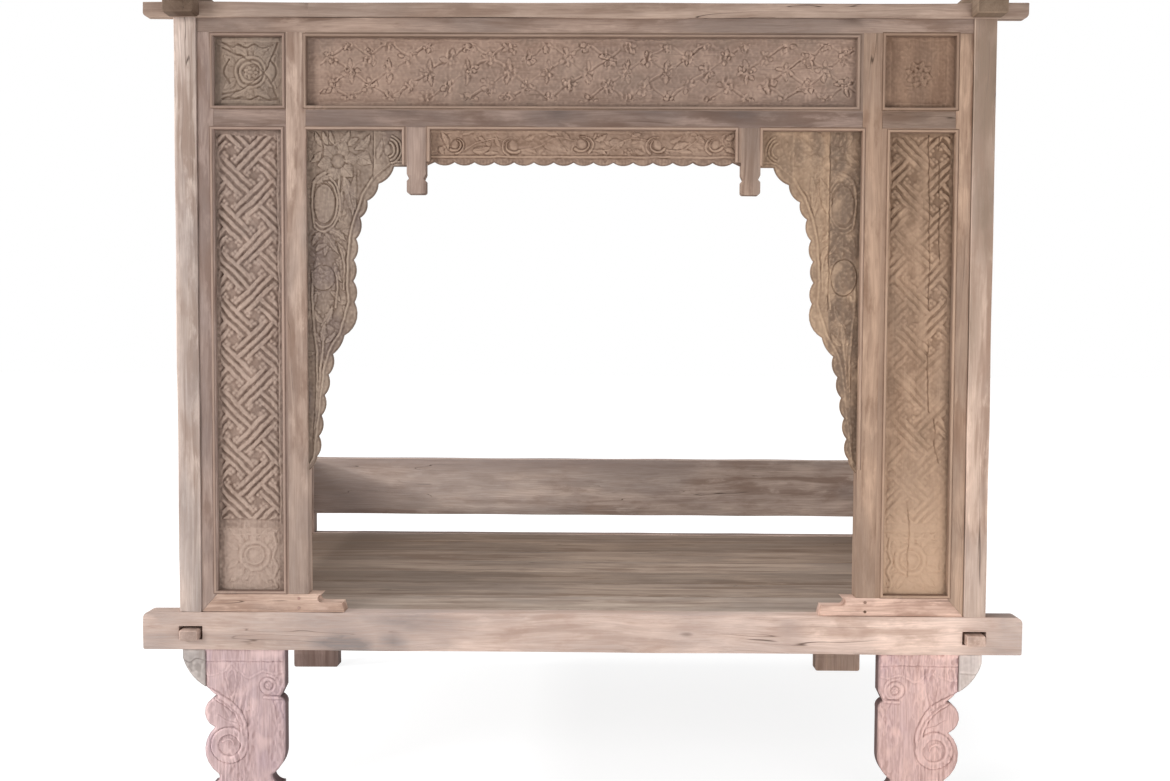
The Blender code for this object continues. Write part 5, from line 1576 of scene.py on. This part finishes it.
def makeFloor():
    mesh = bmesh.new()
    bmesh.ops.create_grid(mesh, x_segments=4, y_segments=4, size=studio["floorSize"] / 2)
    data = bpy.data.meshes.new("floor")
    mesh.to_mesh(data)
    mesh.free()
    floor = bpy.data.objects.new("floor", data)
    bpy.context.scene.collection.objects.link(floor)
    material = bpy.data.materials.new("paleFloor")
    material.use_nodes = True
    tree = material.node_tree
    tree.nodes.remove(tree.nodes["Principled BSDF"])
    bounce = put(tree, "ShaderNodeBsdfDiffuse", {"Color": [studio["floorBounce"]] * 3 + [1.0]})
    catch = put(tree, "ShaderNodeBsdfDiffuse", {"Color": [studio["floorCatch"]] * 3 + [1.0]})
    spot = put(tree, "ShaderNodeTexCoord").outputs["Object"]
    away = vectorCalc(tree, "LENGTH", spot, output="Value")
    shade = between(tree, away, *studio["floorFade"], studio["floorGlow"], 1.0)
    glow = put(tree, "ShaderNodeEmission", {"Color": shade, "Strength": 1.0})
    seen = put(tree, "ShaderNodeAddShader", {0: catch.outputs[0], 1: glow.outputs[0]})
    mixed = put(tree, "ShaderNodeMixShader", {0: shownRays(tree), 1: bounce.outputs[0], 2: seen.outputs[0]})
    fill(tree, tree.nodes["Material Output"].inputs["Surface"], mixed.outputs[0])
    data.materials.append(material)


def makeWorld():
    world = bpy.data.worlds.new("studioSky")
    bpy.context.scene.world = world
    world.use_nodes = True
    tree = world.node_tree
    tree.nodes.clear()
    sky = put(tree, "ShaderNodeBackground", {"Color": studio["skyColour"], "Strength": studio["skyStrength"]})
    white = put(tree, "ShaderNodeBackground", {"Color": (1, 1, 1, 1), "Strength": 1.0})
    mixed = put(tree, "ShaderNodeMixShader", {0: shownRays(tree), 1: sky.outputs[0], 2: white.outputs[0]})
    put(tree, "ShaderNodeOutputWorld", {"Surface": mixed.outputs[0]})


def makeLamp(name, setup):
    lamp = bpy.data.lights.new(name, "AREA")
    lamp.shape = "RECTANGLE"
    lamp.size, lamp.size_y = setup["size"]
    lamp.energy = setup["power"]
    holder = bpy.data.objects.new(name, lamp)
    holder.location = setup["at"]
    aim = Vector(setup["to"]) - Vector(setup["at"])
    holder.rotation_euler = aim.to_track_quat("-Z", "Y").to_euler()
    holder.visible_camera = False
    bpy.context.scene.collection.objects.link(holder)


cameraSet = {
    "lens": 37.32, "sensor": 36.0, "at": (0.038, -3.635, 1.177), "yaw": 0.592, "pitch": -2.673, "roll": 0.274,
}


def makeCamera():
    data = bpy.data.cameras.new("camera")
    data.lens = cameraSet["lens"]
    data.sensor_width = cameraSet["sensor"]
    holder = bpy.data.objects.new("camera", data)
    yaw = Matrix.Rotation(math.radians(cameraSet["yaw"]), 4, "Z")
    pitch = Matrix.Rotation(math.radians(90 + cameraSet["pitch"]), 4, "X")
    tilt = Matrix.Rotation(math.radians(cameraSet["roll"]), 4, "Z")
    holder.matrix_world = Matrix.Translation(cameraSet["at"]) @ yaw @ pitch @ tilt
    bpy.context.scene.collection.objects.link(holder)
    bpy.context.scene.camera = holder


makeFloor()
makeWorld()
for lampName, setup in studio["lamps"].items():
    makeLamp(lampName, setup)
makeCamera()
bpy.context.scene.view_settings.view_transform = "Standard"
print("studio ready")
